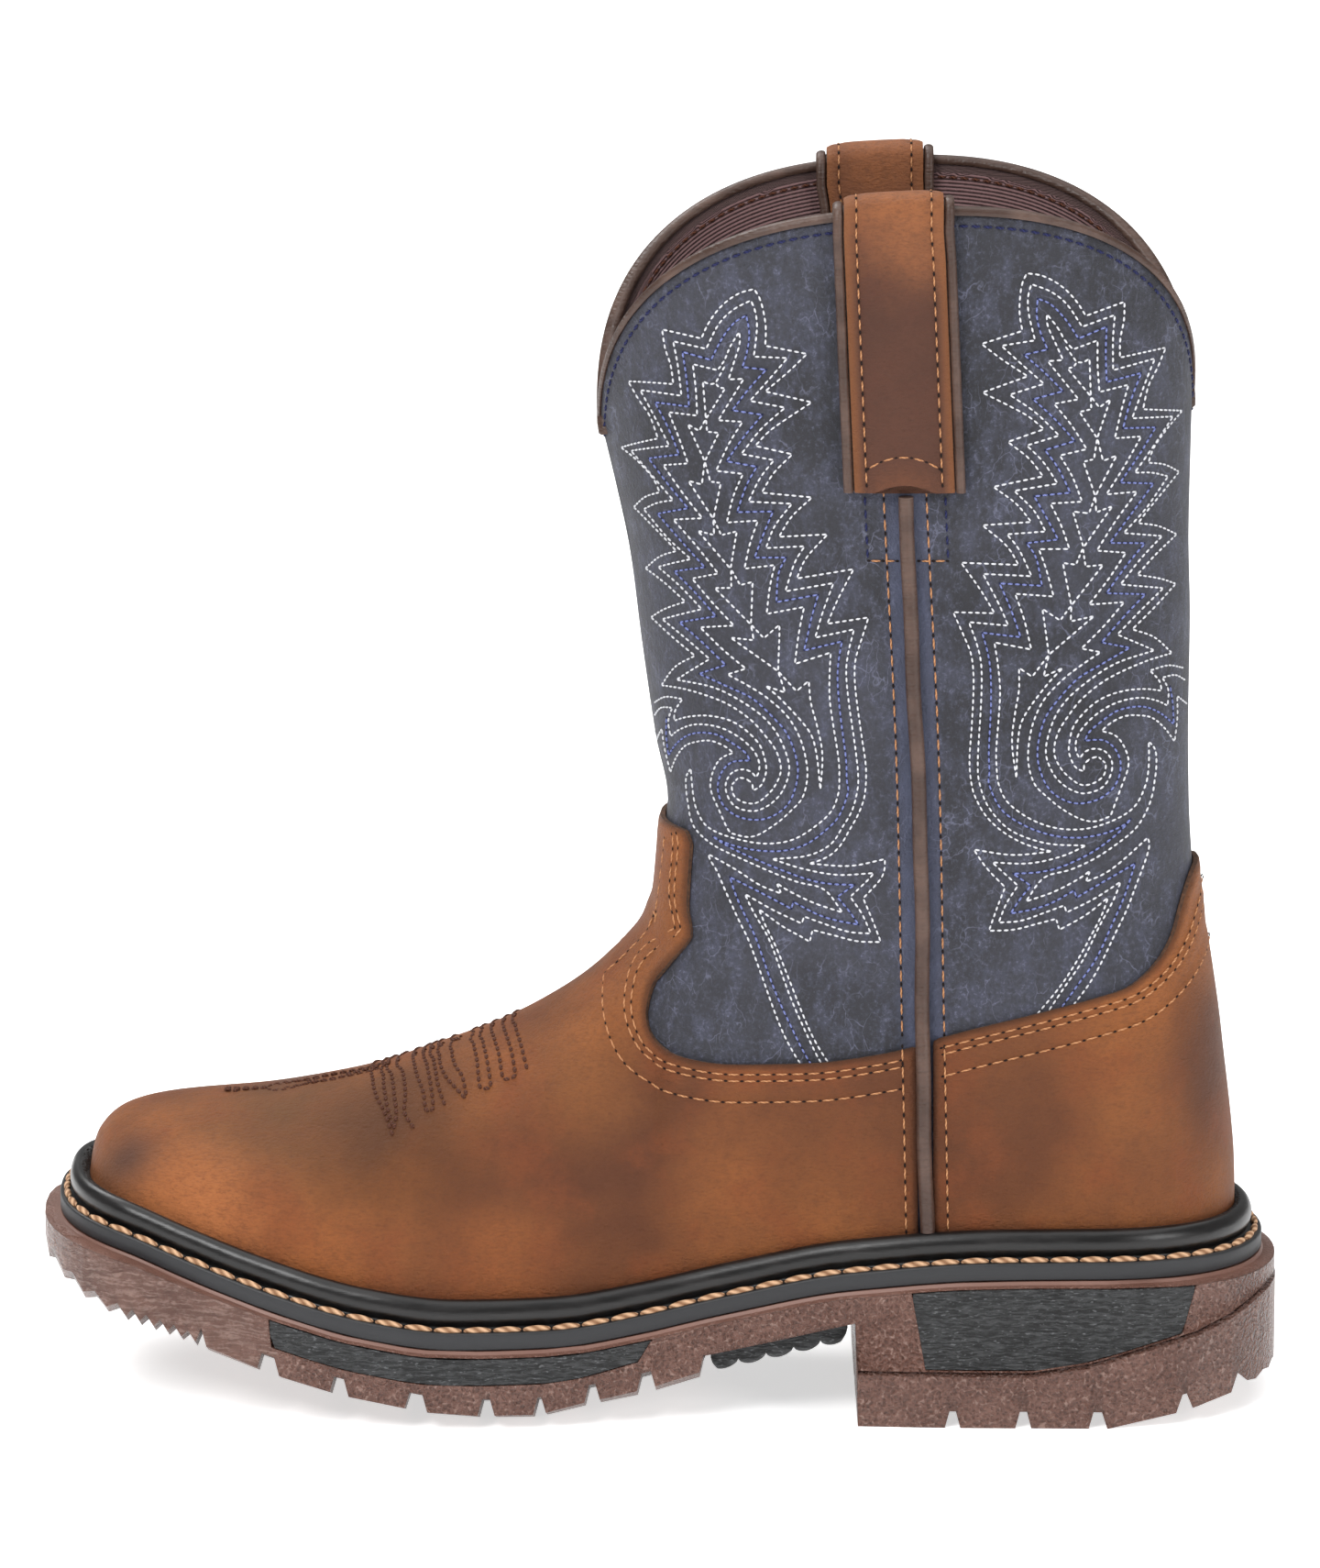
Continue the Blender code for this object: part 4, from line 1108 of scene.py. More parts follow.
class StitchTree(Tree):
    """Geometry Nodes tree that lays one stitch on every point of a mesh, along and flat on the leather."""

    def __init__(self, name: str, segments: int, rings: int) -> None:
        """Build the tree.

        Args:
            name: Name of the tree.
            segments: Faces round a stitch.
            rings: Faces along a stitch.
        """
        super().__init__(bpy.data.node_groups.new(name, "GeometryNodeTree"))
        self.keys: dict[str, str] = {}
        sockets = {"Points": "Geometry", "Girth": "Float", "Height": "Float", "Thread": "Material"}
        for label, kind in sockets.items():
            socket = self.tree.interface.new_socket(label, in_out="INPUT", socket_type=f"NodeSocket{kind}")
            self.keys[label] = socket.identifier
        self.tree.interface.new_socket("Stitches", in_out="OUTPUT", socket_type="NodeSocketGeometry")
        given = {label: self.add("NodeGroupInput", {}, label) for label in sockets}
        sphere = self.add("GeometryNodeMeshUVSphere", {"Segments": segments, "Rings": rings}, "Mesh")
        mapped = {"Geometry": sphere, "Name": "UVMap", "Value": sphere.beside("UV Map")}
        stitch = self.add("GeometryNodeStoreNamedAttribute", mapped, data_type="FLOAT2", domain="CORNER")
        along, lie, span = (
            self.add("GeometryNodeInputNamedAttribute", {"Name": key}, data_type=kind)
            for key, kind in (("along", "FLOAT_VECTOR"), ("lie", "FLOAT_VECTOR"), ("span", "FLOAT"))
        )
        align = "FunctionNodeAlignRotationToVector"
        turn = self.add(align, {"Vector": along}, axis="Z")
        turn = self.add(align, {"Rotation": turn, "Vector": lie}, axis="X", pivot_axis="Z")
        size = self.add("ShaderNodeCombineXYZ", {"X": given["Height"], "Y": given["Girth"], "Z": span})
        placed = {"Points": given["Points"], "Instance": stitch, "Rotation": turn, "Scale": size}
        laid = self.add("GeometryNodeInstanceOnPoints", placed)
        for kind in ("GeometryNodeSetShadeSmooth", "GeometryNodeRealizeInstances"):
            laid = self.add(kind, {"Geometry": laid})
        dyed = self.add("GeometryNodeSetMaterial", {"Geometry": laid, "Material": given["Thread"]})
        self.feed(self.tree.nodes.new("NodeGroupOutput").inputs[0], dyed)

    def lay(self, obj: bpy.types.Object, girth: float, height: float, thread: Material) -> None:
        """Turn an object's points into stitches.

        Args:
            obj: Object whose points carry along, lie and span.
            girth: Half-width of a stitch, in metres.
            height: Half-height of a stitch, in metres.
            thread: Material of the thread.
        """
        sewing = obj.modifiers.new("sewing", "NODES")
        sewing.node_group = self.tree
        for label, value in (("Girth", girth), ("Height", height), ("Thread", thread)):
            sewing[self.keys[label]] = value
        graph = bpy.context.evaluated_depsgraph_get()
        mesh = bpy.data.meshes.new_from_object(obj.evaluated_get(graph), depsgraph=graph)
        obj.modifiers.clear()
        obj.data = mesh


@dataclass
class Seam:
    """Stitches of one thread that are sewn as one piece: centres, directions, normals and half-lengths."""

    name: str
    thread: Thread
    girth: float
    height: float
    pitch: float
    fill: float = 0.82
    fine: bool = True
    reach: float = 0.3
    hole_reach: float = 0.4
    stitches: list[tuple[Array, ...]] = field(default_factory=list)

    def take(self, centres: Array, along: Array, lie: Array, half: float) -> None:
        """Add stitches of one half-length."""
        self.stitches.append((centres, along, lie, np.full(len(centres), half)))

    def sew(self, points: Array, normals: Array, holes: Seam | None = None) -> None:
        """Lay stitches along a line on the leather.

        Args:
            points: Points of the line, in millimetres.
            normals: Outward normals there.
            holes: Seam that takes a needle hole at each end of a stitch.
        """
        total = travel(points)[-1]
        count = max(1, round(total / self.pitch))
        pitch = total / count
        at = (np.arange(count) + 0.5) * pitch
        start, end = (resample(points, np.clip(at + s * self.reach * pitch, 0, total)) for s in (-1, 1))
        self.take((start + end) / 2, end - start, resample(points, at, normals), pitch * self.fill / 2)
        if holes is not None:
            at = np.arange(count + 1) * pitch
            start, end = (resample(points, np.clip(at + s * self.hole_reach, 0, total)) for s in (-1, 1))
            gap = pitch * (1 - self.fill)
            holes.take(resample(points, at), end - start, resample(points, at, normals), gap / 2)


class Workshop:
    """Makes pieces and hands them to the frame."""

    def __init__(self) -> None:
        """Make every finish and thread, and the trees of fine and of lock stitches."""
        self.looks = {look: look.value.make() for look in Look}
        self.trees = {True: StitchTree("fine_stitches", 6, 4), False: StitchTree("lock_stitches", 16, 12)}
        self.threads = {thread: thread.make() for thread in Thread}

    def piece(
        self,
        name: str,
        skin: Skin,
        *looks: Look,
        node: str = "",
        crisp: float = 0.0,
        weld: bool = True,
        slots: Sequence[int] = (),
        **marks: Array,
    ) -> bpy.types.Object:
        """Make a piece and hand it to the frame.

        Args:
            name: Name of the piece.
            skin: Its points on the last, in millimetres, and its faces.
            looks: Its finishes.
            node: CAD node that it stands for.
            crisp: Angle, in degrees, from which edges stay sharp; none do where it is 0.
            weld: Whether doubles are merged and faces turned outwards.
            slots: Which finish each face takes.
            marks: Number at each point, by the name that a finish reads.

        Returns:
            The piece.
        """
        mesh = bpy.data.meshes.new(name)
        mesh.from_pydata(((skin[0] - ORIGIN) * MM).tolist(), [], skin[1])
        for look in looks:
            mesh.materials.append(self.looks[look])
        if len(slots):
            mesh.polygons.foreach_set("material_index", np.asarray(slots, np.int32))
        mesh.update()
        for key, values in marks.items():
            mark(mesh, key, values)
        if weld:
            work = bmesh.new()
            work.from_mesh(mesh)
            bmesh.ops.remove_doubles(work, verts=work.verts, dist=1e-6)
            bmesh.ops.recalc_face_normals(work, faces=work.faces)
            work.to_mesh(mesh)
            work.free()
        mesh.shade_smooth()
        if crisp:
            mesh.set_sharp_from_angle(angle=math.radians(crisp))
        obj = self.mount(name, mesh)
        if node:
            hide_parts(node)
        LOG.info("%s: %d faces", name, len(mesh.polygons))
        return obj

    def mount(self, name: str, mesh: bpy.types.Mesh) -> bpy.types.Object:
        """Put a mesh on the boot.

        Args:
            name: Name of the piece.
            mesh: Its mesh.

        Returns:
            The object, which rides the boot's body.
        """
        obj = bpy.data.objects.new(name, mesh)
        bpy.context.scene.collection.objects.link(obj)
        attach(obj, BODY)
        return obj

    def sew(self, *seams: Seam) -> None:
        """Make the stitches of seams, one piece each.

        Args:
            seams: Seams with all their stitches.
        """
        for seam in seams:
            centres, along, lie, spans = (np.concatenate(part) for part in zip(*seam.stitches))
            mesh = bpy.data.meshes.new(seam.name)
            mesh.from_pydata(((centres - ORIGIN) * MM).tolist(), [], [])
            mark(mesh, "along", along)
            mark(mesh, "lie", lie)
            mark(mesh, "span", spans * MM)
            obj = self.mount(seam.name, mesh)
            self.trees[seam.fine].lay(obj, seam.girth * MM, seam.height * MM, self.threads[seam.thread])
            LOG.info("%s: %d stitches", seam.name, len(centres))


def mark(mesh: bpy.types.Mesh, name: str, values: Array) -> None:
    """Give each point of a mesh a number or a vector.

    Args:
        mesh: The mesh.
        name: What a finish or a stitch tree calls the number.
        values: One number or vector a point.
    """
    values = np.asarray(values, np.float32)
    kind, key = ("FLOAT", "value") if values.ndim == 1 else ("FLOAT_VECTOR", "vector")
    mesh.attributes.new(name, kind, "POINT").data.foreach_set(key, values.ravel())


def quads(rows: int, columns: int, start: int = 0, turned: bool = False) -> Faces:
    """Faces of a grid of points whose rows close on themselves.

    Args:
        rows: Rows of the grid.
        columns: Points in a row.
        start: Number of the first point.
        turned: Whether the faces look the other way.

    Returns:
        Corner numbers of each face.
    """
    faces = []
    for low in range(start, start + (rows - 1) * columns, columns):
        for c in range(columns):
            d = (c + 1) % columns
            face = (low + c, low + d, low + columns + d, low + columns + c)
            faces.append(face[::-1] if turned else face)
    return faces


def loft(sections: Any, loop: bool = False, capped: bool = True) -> Skin:
    """Skin over closed sections.

    Args:
        sections: Points by section and by place in the section.
        loop: Whether the path closes on itself.
        capped: Whether open ends are closed by a face.

    Returns:
        Points and faces.
    """
    sections = np.array(sections)
    count, size = sections.shape[:2]
    faces, end = quads(count, size), (count - 1) * size
    if loop:
        faces += [(end + i, end + (i + 1) % size, (i + 1) % size, i) for i in range(size)]
    elif capped:
        faces += [tuple(range(size))[::-1], tuple(range(end, end + size))]
    return sections.reshape(-1, 3), faces


def signed_power(x: Any, power: float) -> Array:
    """Power of a number's size, with the number's own sign."""
    return np.copysign(np.abs(x) ** power, x)


@dataclass
class Shaft:
    """The hollow upper: navy leather outside, knitted lining inside, binding and tape on its rim."""

    last: Last
    shop: Workshop
    levels: int = 120
    around: int = 260
    rise: float = 2.1
    binding_height: float = 2.0
    binding_overhang: float = 0.7
    binding_degrees: float = 32.4
    binding_squareness: float = 0.75
    binding_foot: float = 0.34
    row_below: float = 2.6
    tape: tuple[float, float] = (0.8, 14.5)
    tape_height: float = 0.55
    tape_edge: float = 0.05
    tape_rows: tuple[float, float] = (3.2, 11.5)
    seam_mark: tuple[float, float] = (3.5, 6.5)

    def build(self) -> None:
        """Make the wall, the binding, the tape and the rows sewn below the rim."""
        outer, normal = self.last.grid(np.linspace(0, self.last.top_level, self.levels), self.around)
        up = unit(np.cross(normal[-1], chords(outer[-1]))) * self.rise
        outer = np.concatenate([outer, [outer[-1] + up]])
        normal = np.concatenate([normal, normal[-1:]])
        inner = outer - normal * self.last.wall
        self.below = np.cumsum(np.linalg.norm(np.diff(outer, axis=0), axis=2)[::-1], 0)[::-1]
        self.build_wall(outer, inner)
        self.build_binding(outer[-1], inner[-1])
        self.build_tape(inner, normal)
        self.sew_rim(outer, inner, normal)

    def build_wall(self, outer: Array, inner: Array) -> None:
        """Closed wall between two grids of rings.

        Args:
            outer: Rings of the leather's face.
            inner: Rings of the lining.
        """
        rows, columns = outer.shape[:2]
        size, top = rows * columns, (rows - 1) * columns
        faces = quads(rows, columns) + quads(rows, columns, size, turned=True)
        slots = [0] * (len(faces) // 2) + [1] * (len(faces) // 2) + [0] * (2 * columns)
        for c in range(columns):
            d = (c + 1) % columns
            faces.append((top + c, top + d, size + top + d, size + top + c))
            faces.append((size + c, size + d, d, c))
        points = np.concatenate([outer.reshape(-1, 3), inner.reshape(-1, 3)])
        x, y, z = points.T
        seam_x = np.where(y < 0, self.last.seam_x(Side.OUTER, z), self.last.seam_x(Side.INNER, z))
        seam, skin = 1 - ease(np.abs(x - seam_x), *self.seam_mark), (points, faces)
        looks = (Look.NAVY, Look.LINING)
        obj = self.shop.piece("upper_leather", skin, *looks, node="upper", weld=False, slots=slots, seam=seam)
        self.unwrap(obj.data, inner)

    def unwrap(self, mesh: bpy.types.Mesh, inner: Array) -> None:
        """Flat map of the lining: millimetres round the leg and up it.

        Args:
            mesh: Mesh of the wall.
            inner: Rings of the lining.
        """
        steps = np.linalg.norm(np.diff(inner, axis=1), axis=2)
        around = np.concatenate([np.zeros((len(inner), 1)), np.cumsum(steps, 1)], 1)
        flat = np.tile(np.stack([around, inner[:, :, 2]], 2).reshape(-1, 2), (2, 1))
        corners = np.empty(len(mesh.loops), np.int32)
        mesh.loops.foreach_get("vertex_index", corners)
        mesh.uv_layers.new(name="UVMap").data.foreach_set("uv", flat[corners].astype(np.float32).ravel())

    def build_binding(self, face: Array, lining: Array) -> None:
        """Rolled binding on the rim.

        Args:
            face: Top ring of the leather's face.
            lining: Top ring of the lining.
        """
        middle, out = (face + lining) / 2, (face - lining) / self.last.wall
        up = unit(np.cross(out, chords(middle)))
        turns = np.radians(np.linspace(-self.binding_degrees, 180 + self.binding_degrees, 15))
        reach = self.last.wall / 2 + self.binding_overhang
        across = signed_power(np.cos(turns), self.binding_squareness) * reach
        rise = self.binding_height * (self.binding_foot + (1 - self.binding_foot) * np.sin(turns))
        sections = middle[:, None] + out[:, None] * across[:, None] + up[:, None] * rise[:, None]
        skin = loft(sections, loop=True)
        self.shop.piece("rim_binding", skin, Look.PIPING, node="collar_binding", crisp=60.0)

    def line_below(self, face: Array, normal: Array, distance: float) -> tuple[Array, Array]:
        """Line round the leg at a distance below the rim.

        Args:
            face: Rings of the face that the line lies on.
            normal: Outward normals of the wall.
            distance: How far below the rim.

        Returns:
            Points and normals round the leg.
        """
        line, lies = [], []
        for c, drop in enumerate(self.below.T):
            level = np.interp(-distance, -drop, np.arange(len(drop)))
            at = int(level)
            line.append(face[at, c] + (face[at + 1, c] - face[at, c]) * (level - at))
            lies.append(normal[at, c])
        return np.array(line), np.array(lies)

    def build_tape(self, inner: Array, normal: Array) -> None:
        """Webbing tape sewn inside the rim.

        Args:
            inner: Rings of the lining.
            normal: Outward normals of the wall.
        """
        depths = np.linspace(*self.tape, 12)
        depths = np.concatenate([depths[:1], depths, depths[-1:]])
        columns = []
        for i, distance in enumerate(depths):
            line, lies = self.line_below(inner, normal, distance)
            height = self.tape_height if 0 < i < len(depths) - 1 else self.tape_edge
            columns.append(line - lies * height)
        down = np.tile(depths, len(columns[0]))
        self.shop.piece("rim_tape", loft(np.stack(columns, 1), loop=True), Look.TAPE, crisp=60.0, down=down)

    def sew_rim(self, outer: Array, inner: Array, normal: Array) -> None:
        """Dark-blue row below the binding, and both rows on the tape inside.

        Args:
            outer: Rings of the leather's face.
            inner: Rings of the lining.
            normal: Outward normals of the wall.
        """
        row = Seam("stitches_rim", Thread.NAVY, 0.40, 0.36, 2.9, 0.80)
        tape = Seam("stitches_tape", Thread.RUST, 0.40, 0.36, 2.8, 0.8)
        inside = [(tape, inner, -normal, distance, self.tape_height + 0.1) for distance in self.tape_rows]
        for seam, face, facing, distance, height in ((row, outer, normal, self.row_below, 0.12), *inside):
            line, lies = self.line_below(face, facing, distance)
            line, lies = np.concatenate([line, line[:1]]), np.concatenate([lies, lies[:1]])
            seam.sew(line + lies * height, lies)
        self.shop.sew(row, tape)


@dataclass
class Panel:
    """Leather laid over the upper inside a closed outline in the side view, cut from a grid of rings."""

    last: Last
    outline: Array
    levels: Array
    around: int
    round_depth: float = 0.55
    round_width: float = 1.2
    # distance from the edge, half-width and depth of the troughs that the stitches pull
    troughs: Rows = ((3.2, 1.3, 0.16), (8.4, 1.0, 0.20))

    def measure(self, points: Array) -> Array:
        """Distance to the outline in the side view.

        Args:
            points: Points of the panel's face.

        Returns:
            The distance of each point, positive inside.
        """
        flat = points[:, (0, 2)]
        best, odd = np.full(len(flat), 1e9), np.zeros(len(flat), bool)
        for a, b in zip(self.outline, np.roll(self.outline, -1, 0)):
            run = b - a
            share = np.clip(((flat - a) @ run) / max(run @ run, 1e-9), 0, 1)
            best = np.minimum(best, np.linalg.norm(flat - a - share[:, None] * run, axis=1))
            crosses = (a[1] > flat[:, 1]) != (b[1] > flat[:, 1])
            rise = run[1] if abs(run[1]) > 1e-9 else 1e-9
            odd ^= crosses & (flat[:, 0] < a[0] + (flat[:, 1] - a[1]) * run[0] / rise)
        return np.where(odd, best, -best)

    def clip(self) -> tuple[Array, Faces]:
        """Keep the part of the grid that lies inside the outline.

        Returns:
            Point, normal and distance to the edge of each place, and the faces.
        """
        grid, normal = self.last.grid(self.levels, self.around)
        distance = self.measure((grid + normal * self.last.lift).reshape(-1, 3))
        rows = list(np.concatenate([grid.reshape(-1, 3), normal.reshape(-1, 3), distance[:, None]], 1))
        inside, crossings, kept = (distance > 0).tolist(), {}, []
        for face in quads(len(self.levels), self.around):
            cut = []
            for a, b in zip(face, face[1:] + face[:1]):
                if inside[a]:
                    cut.append(a)
                if inside[a] != inside[b]:
                    low, high = min(a, b), max(a, b)
                    if (low, high) not in crossings:
                        share = distance[low] / (distance[low] - distance[high])
                        crossings[low, high] = len(rows)
                        rows.append(rows[low] * (1 - share) + rows[high] * share)
                    cut.append(crossings[low, high])
            if cut:
                kept.append(tuple(cut))
        used = sorted({i for face in kept for i in face})
        renumber = {old: new for new, old in enumerate(used)}
        return np.array([rows[i] for i in used]), [tuple(renumber[i] for i in face) for face in kept]

    def solid(self) -> tuple[Skin, list[int], Array]:
        """The panel with its thickness.

        Returns:
            Points and faces, finish number of each face, and distance of each point to the edge.
        """
        data, tops = self.clip()
        point, normal, edge = data[:, :3], data[:, 3:6], data[:, 6]
        height = self.last.lift - self.round_depth * (1 - np.clip(edge / self.round_width, 0, 1)) ** 2
        height -= sum(depth * bump_at(edge, middle, width) for middle, width, depth in self.troughs)
        points = [point + normal * height[:, None], point + normal * self.last.gap]
        count = len(point)
        sides = dict.fromkeys((a, b) for face in tops for a, b in zip(face, face[1:] + face[:1]))
        rim = [(b, a, a + count, b + count) for a, b in sides if (b, a) not in sides]
        faces = tops + [tuple(i + count for i in face[::-1]) for face in tops]
        slots = [0] * len(faces) + [1] * len(rim)
        return (np.concatenate(points), faces + rim), slots, np.concatenate([edge, edge])


@dataclass(frozen=True)
class Card:
    """Squared card laid over the picture: picture place of its corner, and picture steps for one square."""

    across: float
    down: float
    step: float

    def places(self, squares: Rows) -> Array:
        """Picture places of squares on the card."""
        return np.array(squares, float) * self.step + np.array([self.across, self.down])


TOE_CARD = Card(60.0, 1080.0, 0.4209)
TOE_ROWS: tuple[Rows, ...] = (
    ((435, 281), (520, 270), (620, 249), (720, 228), (800, 214), (850, 202)),
    ((435, 281), (560, 279), (680, 260), (780, 238), (848, 212)),
    ((846, 208), (829, 245), (836, 290), (856, 330), (870, 365), (880, 396)),
    ((856, 212), (858, 266), (862, 296), (870, 338), (880, 372)),
    ((862, 210), (880, 250), (886, 300), (890, 340), (882, 380)),
    ((886, 203), (909, 240), (914, 290), (910, 330), (935, 376)),
    ((932, 182), (942, 232), (962, 290), (966, 331), (986, 326), (982, 278), (972, 220), (955, 174)),
    ((976, 166), (992, 220), (1000, 270), (1016, 316)),
    ((1004, 158), (1004, 200), (1020, 244), (1044, 270), (1070, 297)),
    ((1052, 142), (1036, 176), (1044, 214), (1062, 240), (1072, 290)),
    ((1082, 130), (1100, 190), (1110, 271), (1136, 267), (1126, 190), (1108, 120)),
    ((1138, 110), (1158, 180), (1170, 246), (1200, 238), (1190, 170), (1168, 98)),
    ((1196, 86), (1214, 150), (1231, 222)),
)


@dataclass
class Foot:
    """Vamp and counter with their rows of stitches, and the stitching on the toe."""

    last: Last
    shop: Workshop
    view: Viewpoint
    levels: int = 130
    around: int = 430
    row_offsets: tuple[float, ...] = (2.4, 4.0, 9.2)
    # picture places of the vamp's top edge, from the tongue to the side seam, and of the counter's
    vamp_edge: Rows = (
        (744, 904), (749, 912), (751, 920), (750, 932), (748, 962), (747, 988), (751, 1010), (752, 1020),
        (745, 1031), (728, 1048), (708, 1076), (703, 1105), (713, 1135), (742, 1153), (800, 1162),
        (880, 1161), (960, 1151), (1000, 1142),
    )
    counter_edge: Rows = (
        (1018, 1135), (1060, 1124), (1130, 1107), (1200, 1088), (1230, 1078), (1250, 1064), (1270, 1042),
        (1283, 1018), (1290, 992), (1296, 970),
    )
    tongue_x: float = 6.0
    tongue_z: float = 112.0
    # steps, in millimetres, from those edges' ends round the front and the back of the leg
    over_front: Rows = ((-12.0, -0.4), (-4.5, 0.2))
    over_back: Rows = ((2.6, 4.8), (9.6, 8.3))
    # x of the panels' ends beyond toe and heel, and z below the welt
    beyond: float = 160.0
    below: float = 20.0
    vamp_gap: float = 1.6
    counter_gap: float = 1.8
    vamp_rows_end: float = 59.5
    counter_rows_start: float = 68.5

    def build(self) -> None:
        """Make both panels and sew them."""
        seen = [np.array(edge, float) for edge in (self.vamp_edge, self.counter_edge)]
        vamp, counter = self.view.cast(self.last, seen, self.last.lift)
        vamp = curve_through(np.concatenate([vamp[0] + self.over_front, vamp]), 150)
        counter = curve_through(np.concatenate([counter, counter[-1] + self.over_back]), 60)
        seam, far, low = self.last.seam_x(Side.OUTER, 60.0), self.beyond, self.below
        vamp_shape = [*vamp, (seam - self.vamp_gap, low), (-far, low), (-far, vamp[0][1])]
        counter_shape = [*counter, (far, counter[-1][1]), (far, low), (seam + self.counter_gap, low)]
        for name, shape, top in (("vamp", vamp_shape, 12.2), ("counter", counter_shape, 11.0)):
            panel = Panel(self.last, np.array(shape), np.linspace(0, top, self.levels), self.around)
            skin, slots, edge = panel.solid()
            looks, kept = (Look.TAN, Look.EDGE), {"weld": False, "slots": slots, "edge": edge}
            self.shop.piece(f"{name}_leather", skin, *looks, node=name, crisp=50.0, **kept)
        self.sew_edges(vamp, counter)
        self.sew_toe()

    def sew_edges(self, vamp: Array, counter: Array) -> None:
        """Rows that follow the top edges of vamp and counter.

        Args:
            vamp: Top edge of the vamp in the side view.
            counter: Top edge of the counter.
        """
        rows = Seam("stitches_panels", Thread.COPPER, 0.25, 0.28, 3.9, 0.76)
        holes = Seam("stitch_holes", Thread.HOLE, 0.30, 0.17, 3.9)
        front_x = np.linspace(-60.0, self.last.rings[self.last.throat_ring][0], 80)
        front_z = self.last.ridge(front_x)
        for edge in (vamp, counter):
            along = unit(np.gradient(edge, axis=0))
            for offset in self.row_offsets:
                closer = (0.28 * offset + 0.9) * ease(edge[:, 1], 108.0, 126.0) * (edge is vamp)
                x, z = (edge + np.stack([along[:, 1], -along[:, 0]], 1) * (offset - closer)[:, None]).T
                keep = x < self.vamp_rows_end if edge is vamp else x > self.counter_rows_start
                keep &= (edge[:, 0] > self.tongue_x) | (edge[:, 1] < self.tongue_z)
                x = np.maximum(x, np.interp(z, front_z, front_x) + 1.5)
                keep &= x < self.last.back_x(np.interp(z, (71.0, 168.0), (4.0, 12.0))) - 0.6
                for side in Side:
                    rows.sew(*self.last.on_face(side, x[keep], z[keep], self.last.lift - 0.10), holes)
        self.shop.sew(rows, holes)

    def sew_toe(self) -> None:
        """Rust-brown rows over the instep, charted on a card over the picture and mirrored over the ridge."""
        rows = Seam("stitches_toe", Thread.RUST, 0.56, 0.44, 2.3, 0.80)
        lift = self.last.lift + 0.05
        for line in self.view.cast(self.last, [TOE_CARD.places(row) for row in TOE_ROWS], lift):
            x, z = curve_through(line, 40).T
            for side in Side:
                rows.sew(*self.last.on_face(side, x, z, lift))
        self.shop.sew(rows)


CARDS = {
    "T": Card(1035.0, 290.0, 0.1977),
    "M": Card(1035.0, 580.0, 0.1913),
    "L": Card(1035.0, 850.0, 0.1754),
}

